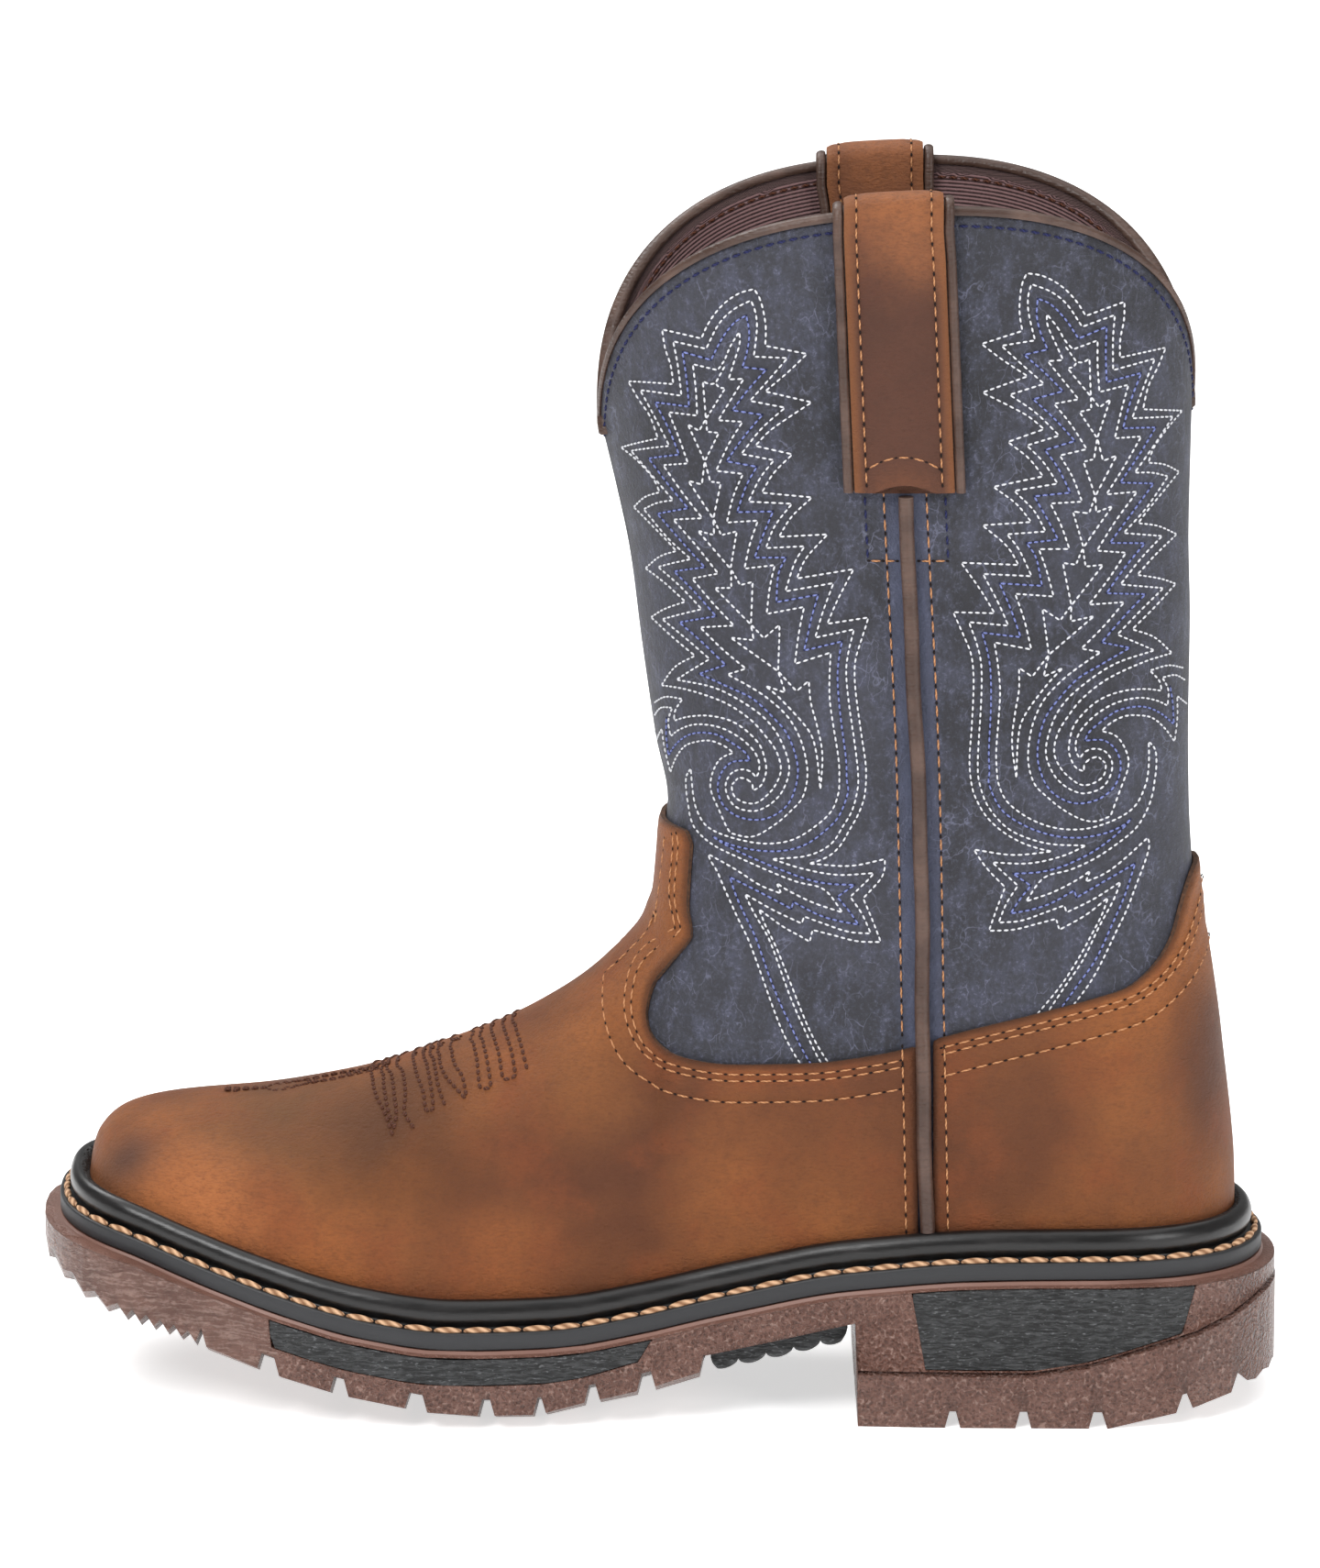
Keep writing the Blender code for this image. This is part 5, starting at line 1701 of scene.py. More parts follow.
# Rows of the flame on cards T, M and L: from the tip down the seam side, then from the tip to the scroll
FLAME_ROWS: dict[Thread, tuple[str, ...]] = {
    Thread.WHITE: (
        "T 430,40 405,95 393,170 390,260 405,358 180,430 300,520 435,608 185,698 330,770 440,830 525,900 "
        "325,970 440,1060 520,1160 245,1218 370,1310 455,1412 185,1430 M 330,80 400,190 70,175 180,330 "
        "262,465 25,458 80,580 125,690 140,800 140,930 130,1120 118,1300 L 140,20 165,110 230,225 330,320 "
        "450,390 560,428 640,445 400,468 155,435 235,550 350,670 300,800 250,940 400,935 550,900 670,870 "
        "690,938 850,850 990,735 950,860 880,990 790,1140 690,1290 545,1465",
        "T 430,40 520,55 620,110 700,190 755,275 968,197 965,300 945,400 943,505 1195,450 1150,560 "
        "1100,660 1070,790 1285,798 1200,900 1130,1000 1100,1085 1190,1095 1270,1135 1180,1250 1100,1350 "
        "1050,1420 1160,1435 1258,1480 M 1180,130 1075,245 1200,265 1292,295 1170,430 1045,555 1170,600 "
        "1270,690 1100,745 900,840 760,950 680,1050 620,1150 600,1260 640,1350 700,1410 760,1443 830,1430 "
        "885,1385 895,1320 850,1280 800,1295 770,1330 770,1365 720,1340 685,1260 690,1180 715,1100 "
        "790,1010 880,945 1000,905 1120,895 1210,905 1200,850 1145,790 1250,760 1335,775",
        "T 455,100 437,170 440,260 475,410 290,440 400,540 525,650 335,710 480,810 608,935 430,990 "
        "520,1080 600,1200 360,1240 470,1350 535,1465 320,1480 M 400,100 475,255 195,240 280,400 340,535 "
        "115,515 160,640 185,760 185,950 170,1200 165,1340 L 190,20 240,160 350,290 480,360 640,400 "
        "850,408 700,475 500,520 270,515 430,660 360,770 310,890 450,880 600,830 720,785 735,830 900,745 "
        "1065,635 1020,760 930,940 830,1130 720,1290 620,1440",
        "T 455,100 560,140 650,210 735,335 915,270 905,400 905,575 1135,510 1080,650 1010,840 1235,830 "
        "1130,990 1025,1140 1120,1140 1210,1160 1090,1340 970,1475 1180,1490 M 1100,150 980,300 1222,320 "
        "1090,450 960,585 1090,640 1170,675 950,750 780,860 660,970 590,1090 552,1250 590,1370 650,1440 "
        "720,1480 780,1490 870,1460 920,1390 930,1310 890,1250 830,1235 780,1250 745,1290 725,1250 "
        "725,1190 760,1120 840,1040 950,975 1080,945 1180,960 1245,990 1250,900 1215,830 1290,815 "
        "1345,845",
        "T 540,265 545,330 590,430 630,518 545,525 630,630 715,735 580,760 670,870 760,1010 612,1045 "
        "680,1160 735,1300 560,1310 620,1430 M 692,100 515,100 560,220 600,370 380,355 430,500 470,670 "
        "260,630 280,760 292,900 285,1050 270,1250 275,1380 L 310,30 360,135 480,230 620,290 760,310 "
        "900,295 1060,235 1160,160 M 1118,1450 1135,1370 1140,1280 1138,1195 1175,1240 1182,1330 "
        "1170,1430 L 1265,90 1230,190 1160,300 1050,390 900,490 750,560 590,610 480,760 650,700 800,620 "
        "875,565 850,635 1000,560 1230,360 1235,430 1160,660 1090,860 980,1080 880,1260 770,1410",
        "T 540,265 600,340 640,410 685,460 820,410 820,550 830,695 990,655 950,800 915,950 1060,940 "
        "970,1100 870,1260 1040,1245 930,1400 M 850,110 1015,120 920,260 800,415 1000,400 880,540 755,665 "
        "865,685 740,770 640,850 540,960 480,1090 455,1220 455,1330 490,1440 560,1510 640,1575 740,1632 "
        "830,1650 920,1620 981,1457 1020,1350 1020,1280 985,1200 940,1155 870,1135 920,1090 1000,1050 "
        "1080,1045 1160,1060 1230,1120 1285,1195 1300,1060 1300,935 1355,980",
        "T 640,440 705,530",
        "M 570,700 475,825 400,775 400,900 378,1030 360,1200 385,1405",
        "M 570,700 540,825 650,775 560,870 430,1050 395,1180 385,1400",
    ),
    Thread.BLUE: (
        "T 490,180 485,280 510,380 545,460 415,490 520,580 630,690 465,735 580,840 695,965 530,1015 "
        "600,1110 670,1250 470,1270 540,1390 605,1510 430,1530 M 500,150 535,310 290,295 350,430 410,600 "
        "190,575 220,680 238,800 240,1000 228,1250 232,1370 L 250,30 330,190 480,290 640,345 800,360 "
        "960,335 1080,285 1130,245 1060,320 960,400 850,470 700,540 560,575 400,585 510,660 440,750 "
        "385,835 520,810 640,770 780,690 795,735 950,640 1150,520 1100,700 1020,910 920,1110 800,1280 "
        "700,1420",
        "T 490,180 560,210 640,290 715,400 870,335 865,480 870,640 1060,590 1000,750 960,895 1140,890 "
        "1050,1040 945,1195 1130,1200 1010,1370 895,1530 1085,1530 M 1010,200 900,350 1120,355 1000,480 "
        "870,630 1030,660 860,760 730,840 620,960 550,1060 510,1200 510,1320 560,1450 640,1520 740,1548 "
        "860,1520 950,1440 980,1330 950,1240 890,1190 830,1185 775,1190 800,1140 870,1080 970,1015 "
        "1100,995 1200,1030 1280,1095 1275,980 1260,880",
    ),
}

# Arrowheads of the middle vein: card, then top, left notch and barb, right notch and barb, and bottom
ARROWS: tuple[tuple[str, Rows], ...] = (
    ("T", ((705, 530), (690, 555), (655, 565), (740, 532), (775, 510), (783, 720))),
    ("T", ((783, 720), (785, 790), (720, 805), (830, 780), (890, 735), (818, 950))),
    ("T", ((818, 950), (800, 1065), (742, 1080), (850, 1075), (925, 1045), (808, 1270))),
    ("T", ((808, 1270), (775, 1365), (685, 1355), (815, 1360), (905, 1325), (748, 1555))),
    ("M", ((770, 95), (730, 190), (655, 180), (785, 200), (885, 190), (700, 420))),
    ("M", ((700, 420), (635, 505), (535, 440), (695, 510), (828, 480), (570, 700))),
)


def charted_places(row: str) -> Array:
    """Read a charted row, in which a letter names the card of the squares after it.

    Args:
        row: The row's letters and squares.

    Returns:
        Picture places of the squares.
    """
    card, places = CARDS["T"], []
    for word in row.split():
        if word in CARDS:
            card = CARDS[word]
        else:
            places.append(card.places([float(number) for number in word.split(",")]))
    return np.array(places)


@dataclass
class ShaftMap:
    """Flat map of the outer side of the shaft: distance round the leg from the seam, by height."""

    last: Last
    low: float = 84.0
    high: float = 292.0
    rows: int = 66
    columns: int = 161
    levels: int = 200
    trim: float = 0.02

    def __post_init__(self) -> None:
        """Measure the leg at each height."""
        self.xs, self.arcs = [], []
        levels = np.linspace(0, self.last.top_level, self.levels)
        lines = [curve(levels) for curve in (self.last.front_x, self.last.back_x)]
        heights = [self.last.ring_section(levels, line)[0] for line in lines]
        for z in np.linspace(self.low, self.high, self.rows):
            front, back = (np.interp(z, height, line) for height, line in zip(heights, lines))
            x = front + bunched(self.columns, self.trim) * (back - front)
            y = self.last.depth(Side.OUTER, x, np.full_like(x, z))
            arc = travel(np.stack([x, y], 1))
            self.xs.append(x)
            self.arcs.append(arc - np.interp(self.last.seam_x(Side.OUTER, z), x, arc))

    def read(self, table: Sequence[Array], values: Sequence[Array], at: Array, z: Array) -> Array:
        """Read one column of the map against another, between heights.

        Args:
            table: Column that is looked up, by height.
            values: Column that is read, by height.
            at: What to look up.
            z: Height of each place.

        Returns:
            The value at each place.
        """
        row = np.clip((z - self.low) / (self.high - self.low) * (self.rows - 1), 0, self.rows - 1.001)
        found = []
        for place, number in zip(at, row):
            k = int(number)
            pair = [np.interp(place, table[k + i], values[k + i]) for i in (0, 1)]
            found.append(pair[0] + (pair[1] - pair[0]) * (number - k))
        return np.array(found)

    def arc(self, x: Array, z: Array) -> Array:
        """Distance round the leg from the seam to x, towards the back."""
        return self.read(self.xs, self.arcs, x, z)

    def x_at(self, arc: Array, z: Array) -> Array:
        """x of a distance round the leg."""
        return self.read(self.arcs, self.xs, arc, z)


@dataclass
class Flame:
    """Flame stitching of the shaft: one chart, sewn on the back and front of both sides."""

    last: Last
    shop: Workshop
    view: Viewpoint
    pitch: float = 1.72
    fill: float = 0.75
    height: float = 0.12
    corner: float = 48.0
    spacing: float = 3.0
    steps: int = 8
    drop: float = 0.13
    leaf_drop: float = 2.8
    tail_drop: float = 12.0
    # how far the front flame's lower part, and its tip for each millimetre of height, lie further forward
    leaf_shift: float = 6.5
    tip_shift: float = 0.033
    tip_z: float = 200.0

    def build(self) -> None:
        """Chart the rows, lay them on all four panels and sew them."""
        threads, runs = [], []
        for thread, line in self.charted():
            parts = self.runs(line)
            runs += parts
            threads += [thread] * len(parts)
        cuts = np.cumsum([len(run) for run in runs])[:-1]
        back = np.concatenate(self.view.cast(self.last, runs))
        panels = (back, self.front(back))
        for side in Side:
            white, blue, gaps = (
                Seam(f"stitches_flame_{word}_{side.word}", thread, girth, height, self.pitch, self.fill)
                for word, thread, girth, height in (
                    ("white", Thread.WHITE, 0.26, 0.28),
                    ("blue", Thread.BLUE, 0.26, 0.28),
                    ("gaps", Thread.NAVY, 0.24, 0.20),
                )
            )
            for x, z in (panel.T for panel in panels):
                lean = self.last.rim_skew * ease(z, 120, 280) * (side is Side.INNER)
                points, normals = self.last.on_face(side, x - lean, z, self.height)
                for thread, line, lie in zip(threads, np.split(points, cuts), np.split(normals, cuts)):
                    if thread is Thread.BLUE:
                        blue.sew(line, lie, gaps)
                    else:
                        white.sew(line, lie)
            self.shop.sew(white, blue, gaps)

    def front(self, back: Array) -> Array:
        """Mirror the flame over the seam, with its leaf and tail lower.

        Args:
            back: x and z of the flame behind the seam.

        Returns:
            x and z of the flame in front of it.
        """
        flat, z = ShaftMap(self.last), back[:, 1]
        arc, leaf, tail = flat.arc(back[:, 0], z), 1 - ease(z, 130.0, 165.0), 1 - ease(z, 102.0, 124.0)
        front_z = z - self.drop * arc * (1 - leaf) - self.leaf_drop * leaf - self.tail_drop * tail
        shift = self.leaf_shift * (1 - ease(z, 138.0, 152.0))
        front_arc = shift - arc - self.tip_shift * np.clip(z - self.tip_z, 0, None)
        return np.stack([flat.x_at(front_arc, front_z), front_z], 1)

    def charted(self) -> list[tuple[Thread, Array]]:
        """Read the chart.

        Returns:
            Thread and picture places of every line.
        """
        lines = [(thread, charted_places(row)) for thread, rows in FLAME_ROWS.items() for row in rows]
        for card, squares in ARROWS:
            top, left_notch, left_barb, right_notch, right_barb, bottom = CARDS[card].places(squares)
            lines.append((Thread.WHITE, np.array([top, left_notch, left_barb, bottom])))
            lines.append((Thread.WHITE, np.array([top, right_notch, right_barb, bottom])))
        return lines

    def runs(self, line: Array) -> list[Array]:
        """Split a line at its corners and round the runs between them.

        Args:
            line: Charted places.

        Returns:
            Smooth runs of close places.
        """
        step = np.diff(line, axis=0)
        heading = np.arctan2(step[:, 1], step[:, 0])
        turn = np.abs((np.diff(heading) + math.pi) % math.tau - math.pi)
        corners = [0, *(np.nonzero(turn > math.radians(self.corner))[0] + 1), len(line) - 1]
        parts = [line[a : b + 1] for a, b in zip(corners, corners[1:])]
        return [self.rounded(part, max(3, int(travel(part)[-1] / self.spacing))) for part in parts]

    def rounded(self, points: Array, count: int) -> Array:
        """Catmull-Rom line through points.

        Args:
            points: Places that the line passes.
            count: How many places it gets.

        Returns:
            Places along the line.
        """
        dense = points
        if len(points) > 2:
            padded = np.concatenate([[2 * points[0] - points[1]], points, [2 * points[-1] - points[-2]]])
            fine, t = [], np.linspace(0, 1, self.steps, endpoint=False)[:, None]
            for p0, p1, p2, p3 in zip(padded, padded[1:], padded[2:], padded[3:]):
                bend, swing = 2 * p0 - 5 * p1 + 4 * p2 - p3, 3 * p1 - 3 * p2 + p3 - p0
                fine.append(0.5 * (2 * p1 + (p2 - p0) * t + bend * t * t + swing * t**3))
            dense = np.concatenate([*fine, points[-1:]])
        return resample(dense, np.linspace(0, travel(dense)[-1], count))


@dataclass
class SideSeams:
    """Piping over both side seams, with a row of stitches on each side of it."""

    last: Last
    shop: Workshop
    radius: float = 1.8
    top: float = 231.0
    foot: float = 47.5
    row_offset: float = 5.1
    sides: int = 12
    # lower and upper end of the rows on shaft and foot, and their height above the upper
    rows: Rows = ((96.5, 234.0, 0.08), (47.0, 94.0, 1.92))

    def build(self) -> None:
        """Make the piping and sew its rows."""
        rows = Seam("stitches_side_seams", Thread.COPPER, 0.28, 0.32, 4.2, 0.74)
        holes = Seam("stitch_holes_side_seams", Thread.HOLE, 0.34, 0.17, 4.2)
        for side in Side:
            name, skin = f"piping_{side.word}", loft(self.tube(side))
            self.shop.piece(name, skin, Look.PIPING, node=f"seam_{name}", crisp=60.0)
            for sign in (-1, 1):
                for low, high, lift in self.rows:
                    z = np.linspace(high, low, 60)
                    rows.sew(*self.last.beside_seam(side, sign * self.row_offset, z, lift), holes)
        self.shop.sew(rows, holes)

    def tube(self, side: Side) -> Array:
        """Sections of the piping from the welt to the strap.

        Args:
            side: Side of the boot.

        Returns:
            Points by section and by place round the piping.
        """
        z = np.linspace(self.foot, self.top, 110)
        point, normal = self.last.beside_seam(side, 0.0, z)
        over = self.last.overlay * 0.35 * (1 - ease(z, 92.0, 98.0))
        lift = self.radius + self.last.gap + 0.1 + 0.4 * (1 - ease(z, self.foot, self.foot + 12.0)) + over
        centre = point + normal * lift[:, None]
        centre[:, 0] += 0.22 * np.sin(z / 17.0) + 0.12 * np.sin(z / 6.1)
        along = np.gradient(centre, axis=0)
        along = unit(along - normal * np.sum(along * normal, 1)[:, None])
        across = np.cross(along, normal)
        turns = (np.arange(self.sides) * math.tau / self.sides)[:, None]
        spokes = np.cos(turns) * across[:, None] + np.sin(turns) * normal[:, None]
        return centre[:, None] + self.radius * spokes


@dataclass
class PullStraps:
    """Tan pull straps with rolled edges, looped over the rim, and the tab sewn below each."""

    last: Last
    shop: Workshop
    bottom: float = 232.0
    inside_bottom: float = 250.0
    half: float = 11.8
    thickness: float = 1.7
    edging_half: float = 14.4
    bead: float = 2.6
    bead_middle: float = 1.75
    bead_rise: float = 1.35
    web: float = 0.9
    loop: float = 1.0
    loop_squareness: float = 0.8
    binding_height: float = 3.4
    binding_overhang: float = 0.9
    binding_lift: float = 0.7
    notch: float = 1.9
    notch_half: float = 7.0
    row: float = 8.9
    fold: float = 288.0
    rim_z: float = 298.0
    crest_step: float = 38.0
    crest_width: float = 8.0
    crest_sink: float = 0.5
    tab: float = 17.0
    tab_half: float = 9.6

    def build(self) -> None:
        """Make both straps and sew them."""
        rows = Seam("stitches_straps", Thread.COPPER, 0.25, 0.29, 3.7, 0.72)
        holes = Seam("stitch_holes_straps", Thread.HOLE, 0.33, 0.17, 3.7)
        tabs = Seam("stitches_tabs", Thread.NAVY, 0.34, 0.30, 3.4, 0.72)
        strap, edging = self.strap_profile(), self.edging_profile()
        for side in Side:
            skin = loft(self.sweep(side, strap))
            edge = np.tile(self.half - np.abs(strap[:, 0]), len(skin[0]) // len(strap))
            node = f"pull_strap_{side.word}"
            self.shop.piece(f"strap_{side.word}", skin, Look.STRAP, node=node, crisp=50.0, edge=edge)
            skin = loft(self.sweep(side, edging, backing=True))
            node = f"strap_edging_{side.word}"
            self.shop.piece(f"edging_{side.word}", skin, Look.PIPING, node=node, crisp=50.0)
            self.sew_rows(side, rows, holes, tabs)
        self.shop.sew(rows, holes, tabs)

    def strap_profile(self) -> Array:
        """Section of the strap.

        Returns:
            Places across, and heights above the strip's underside.
        """
        low = self.web + self.last.gap
        across = np.linspace(-1, 1, 27) * self.half
        crown = low + self.thickness - 0.75 * np.abs(across / self.half) ** 9
        crown -= 0.18 * bump_at(np.abs(across), self.row, 1.0)
        return np.array([*zip(across, crown), *((x, low) for x in np.linspace(1, -1, 9) * self.half)])

    def edging_profile(self) -> Array:
        """Section of the backing strip with a rolled bead along both edges.

        Returns:
            Places across, and heights above the strip's underside.
        """
        inner = self.edging_half - self.bead + self.last.gap
        middle, radius = (inner + self.edging_half) / 2, (self.edging_half - inner) / 2
        turns = np.radians(np.linspace(180, -60, 11))
        roll = zip(middle + radius * np.cos(turns), self.bead_middle + self.bead_rise * np.sin(turns))
        right = [(inner, self.web), *roll, (middle, 0.0)]
        left = [(-x, y) for x, y in reversed(right)]
        return np.array([*left, (0.0, self.web), *right, (0.0, 0.0)])

    def on_leg(self, side: Side, across: Array, z: Array, height: float) -> tuple[Array, Array]:
        """Places beside the side seam on the shaft.

        Args:
            side: Side of the boot.
            across: Places across the strap.
            z: Heights, by step along the strap and by place across it.
            height: How far above the upper's face they lie.

        Returns:
            Points and outward normals, in the shape of z.
        """
        across = np.broadcast_to(across, z.shape).ravel()
        points, normals = self.last.beside_seam(side, across, z.ravel(), height)
        return points.reshape(*z.shape, 3), normals.reshape(*z.shape, 3)

    def path(self, side: Side, across: Array, backing: bool = False) -> tuple[Array, Array]:
        """Underside of a strap.

        Args:
            side: Side of the boot.
            across: Places across the strap.
            backing: Whether it is the backing, whose lower end has no arch.

        Returns:
            Points and outward normals, by step along the strap and by place across it.
        """
        arch = self.notch * np.clip(1 - (across / self.notch_half) ** 2, 0, None) * (not backing)
        fold = np.full_like(across, self.fold)
        low = np.linspace(self.bottom + arch, fold, 30)
        points, normals = self.on_leg(side, across, low, self.last.gap)
        high = np.linspace(fold, np.full_like(across, self.inside_bottom), 14)
        inside, facing = self.on_leg(side, across, high, 0.0)
        inside = inside - facing * (self.last.wall + self.binding_overhang)

        out, up = np.array([0, side.value, 0.0]), np.array([0, 0, 1.0])
        x = float(self.last.seam_x(side, self.rim_z)) + across
        top = self.last.top_level
        rim_z, centre, half = self.last.ring_section(top, x + self.last.skew(side, top))
        rim = np.stack([x, centre + side.value * half, rim_z + self.binding_lift + self.binding_height], 1)
        turns = np.radians(np.linspace(10, 170, 13))
        shares = signed_power(np.cos(turns), self.loop_squareness)
        rises = (1.0 + self.loop) * np.sin(turns) ** self.loop_squareness - 1.0
        ends = (-self.binding_height - 2.0, -2.2)
        bends = [(1.0, rise, 0.0) for rise in ends] + list(zip(shares, rises, turns))
        bends += [(-1.0, rise, math.pi) for rise in ends[::-1]]
        share, rise, turn = np.array(bends).T[:, :, None, None]
        reach = self.last.wall / 2 + self.binding_overhang + 2 * self.last.gap
        line = rim - out * self.last.wall / 2 + out * reach * share + up * rise
        lies = np.broadcast_to(out * np.cos(turn) + up * np.sin(turn), line.shape)
        return np.concatenate([points, line, inside]), np.concatenate([normals, lies, -facing])

    def sweep(self, side: Side, profile: Array, backing: bool = False) -> Array:
        """Sections of a strip over the rim.

        Args:
            side: Side of the boot.
            profile: Section of the strip.
            backing: Whether it is the backing, which lies lower over the rim.

        Returns:
            Points by step along the strip and by place in the section.
        """
        points, normals = self.path(side, profile[:, 0], backing)
        over_rim = bump_at(np.arange(len(points)), self.crest_step, self.crest_width)
        sunk = 1 - self.crest_sink * backing * over_rim
        return points + normals * profile[None, :, 1:] * sunk[:, None, None]

    def sew_rows(self, side: Side, rows: Seam, holes: Seam, tabs: Seam) -> None:
        """Rows along a strap, the arch at its lower end and the tab below it.

        Args:
            side: Side of the boot.
            rows: Seam of the strap.
            holes: Its needle holes.
            tabs: Seam of the tab.
        """
        height = self.web + self.last.gap + self.thickness - 0.08
        for sign in (-1, 1):
            points, normals = self.path(side, np.array([sign * self.row]))
            rows.sew((points + normals * height)[1:, 0], normals[1:, 0], holes)
        across = np.linspace(-self.row + 0.4, self.row - 0.4, 24)
        z = self.bottom + 5.6 + 3.2 * (1 - (across / self.row) ** 2)
        rows.sew(*self.last.beside_seam(side, across, z, self.last.gap + height), holes)
        for sign in (-1, 1):
            z = np.linspace(self.bottom - 1.0, self.bottom - self.tab, 12)
            tabs.sew(*self.last.beside_seam(side, sign * self.tab_half, z, 0.1))
            across, z = sign * np.linspace(9.4, 2.6, 8), np.full(8, self.bottom - self.tab - 0.2)
            rows.sew(*self.last.beside_seam(side, across, z, 0.1), holes)


@dataclass
class Welt:
    """Black welt: flat lip with a chunky lock-stitch, and a rolled bead against the upper."""

    last: Last
    shop: Workshop
    lip: float = 9.0
    lip_round: float = 0.7
    edge: float = 4.3
    bead: float = 7.2
    bead_width: float = 2.6
    bead_rise: float = 3.4
    stations: int = 420
    even_share: float = 0.55
    stitch_stations: int = 600
    stitch_pitch: float = 7.2
    stitch_offset: float = 7.35
    stitch_height: float = 0.25
    # distance from the middle of the boot where the bead's inner edge begins to be chipped, and is fully
    chipped: tuple[float, float] = (112.0, 126.0)

    def stations_round(self, count: int) -> list[tuple[Side, float]]:
        """Stations round the whole feather line: outer side to the heel, inner side back.

        Args:
            count: How many.

        Returns:
            Side and x of each.
        """
        half = count // 2 + 1
        mixed = (1 - self.even_share) * bunched(half) + self.even_share * np.linspace(0, 1, half)
        share = 0.5 - 0.5 * np.cos(math.pi * mixed)
        x = self.last.toe_tip + share * (self.last.heel_back - self.last.toe_tip)
        return [(Side.OUTER, v) for v in x] + [(Side.INNER, v) for v in x[-2:0:-1]]

    def spot(self, side: Side, x: float, offset: float, height: float) -> tuple[float, float, float]:
        """Point outside the feather line and above the outsole."""
        at_x, at_y = self.last.edge_point(side, x, offset)
        return at_x, at_y, float(self.last.sole_top(at_x)) + self.last.gap + height

    def profile(self) -> list[tuple[float, float, float]]:
        """Section of the welt.

        Returns:
            Distance outside the feather line, height, and 1 on the lip or -1 on the bead's inner edge.
        """
        inside, top = self.last.overlay + 3 * self.last.gap, self.edge + self.bead
        section = [(inside, 0.0, 0.0), (inside, self.edge, 0.0), (inside - 0.9, top - 2.8, -1.0)]
        for degrees in np.linspace(152, -55, 18):
            a = math.radians(degrees)
            height = top - self.bead_rise + self.bead_rise * math.sin(a)
            section.append((inside + 1.3 + self.bead_width * math.cos(a), height, -float(degrees > 100)))
        section += [(inside + 2.6, self.edge + 0.6, 0.0), (inside + 2.8, self.edge + 0.1, 0.0)]
        section += [(inside + 3.3, self.edge, 0.2), (self.lip - 1.3, self.edge, 0.3)]
        for degrees in np.linspace(90, 0, 6):
            across, up = math.cos(math.radians(degrees)) - 1, math.sin(math.radians(degrees)) - 1
            place = (self.lip + self.lip_round * across, self.edge + self.lip_round * up)
            section.append((*place, 1 - degrees / 130))
        return section + [(self.lip, 0.3, 1.0), (self.lip - 0.3, 0.0, 1.0)]

    def build(self) -> None:
        """Make the welt and sew its lip."""
        profile, stations = self.profile(), self.stations_round(self.stations)
        sections = [[self.spot(*station, *place[:2]) for place in profile] for station in stations]
        skin = loft(sections, loop=True)
        marks = np.tile([p[2] for p in profile], len(stations))
        turn = np.clip(-marks, 0, 1) * ease(np.abs(skin[0][:, 0] + 2.0), *self.chipped)
        lip = np.clip(marks, 0, 1)
        self.shop.piece("welt_strip", skin, Look.WELT, node="welt", crisp=60.0, lip=lip, turn=turn)
        seam = Seam("stitches_welt", Thread.GOLD, 0.86, 0.95, self.stitch_pitch, 0.96, fine=False)
        place = (self.stitch_offset, self.edge + self.stitch_height)
        line = [self.spot(*station, *place) for station in self.stations_round(self.stitch_stations)]
        seam.sew(np.array(line + line[:1]), np.tile([0.0, 0.0, 1.0], (len(line) + 1, 1)))
        self.shop.sew(seam)


class Stretch(Enum):
    """Stretches of the sole, from toe to heel."""

    TEETH = "teeth"
    FOREFOOT = "forefoot"
    WAIST = "waist"
    HEEL = "heel"


Station = tuple[float, float, Stretch]


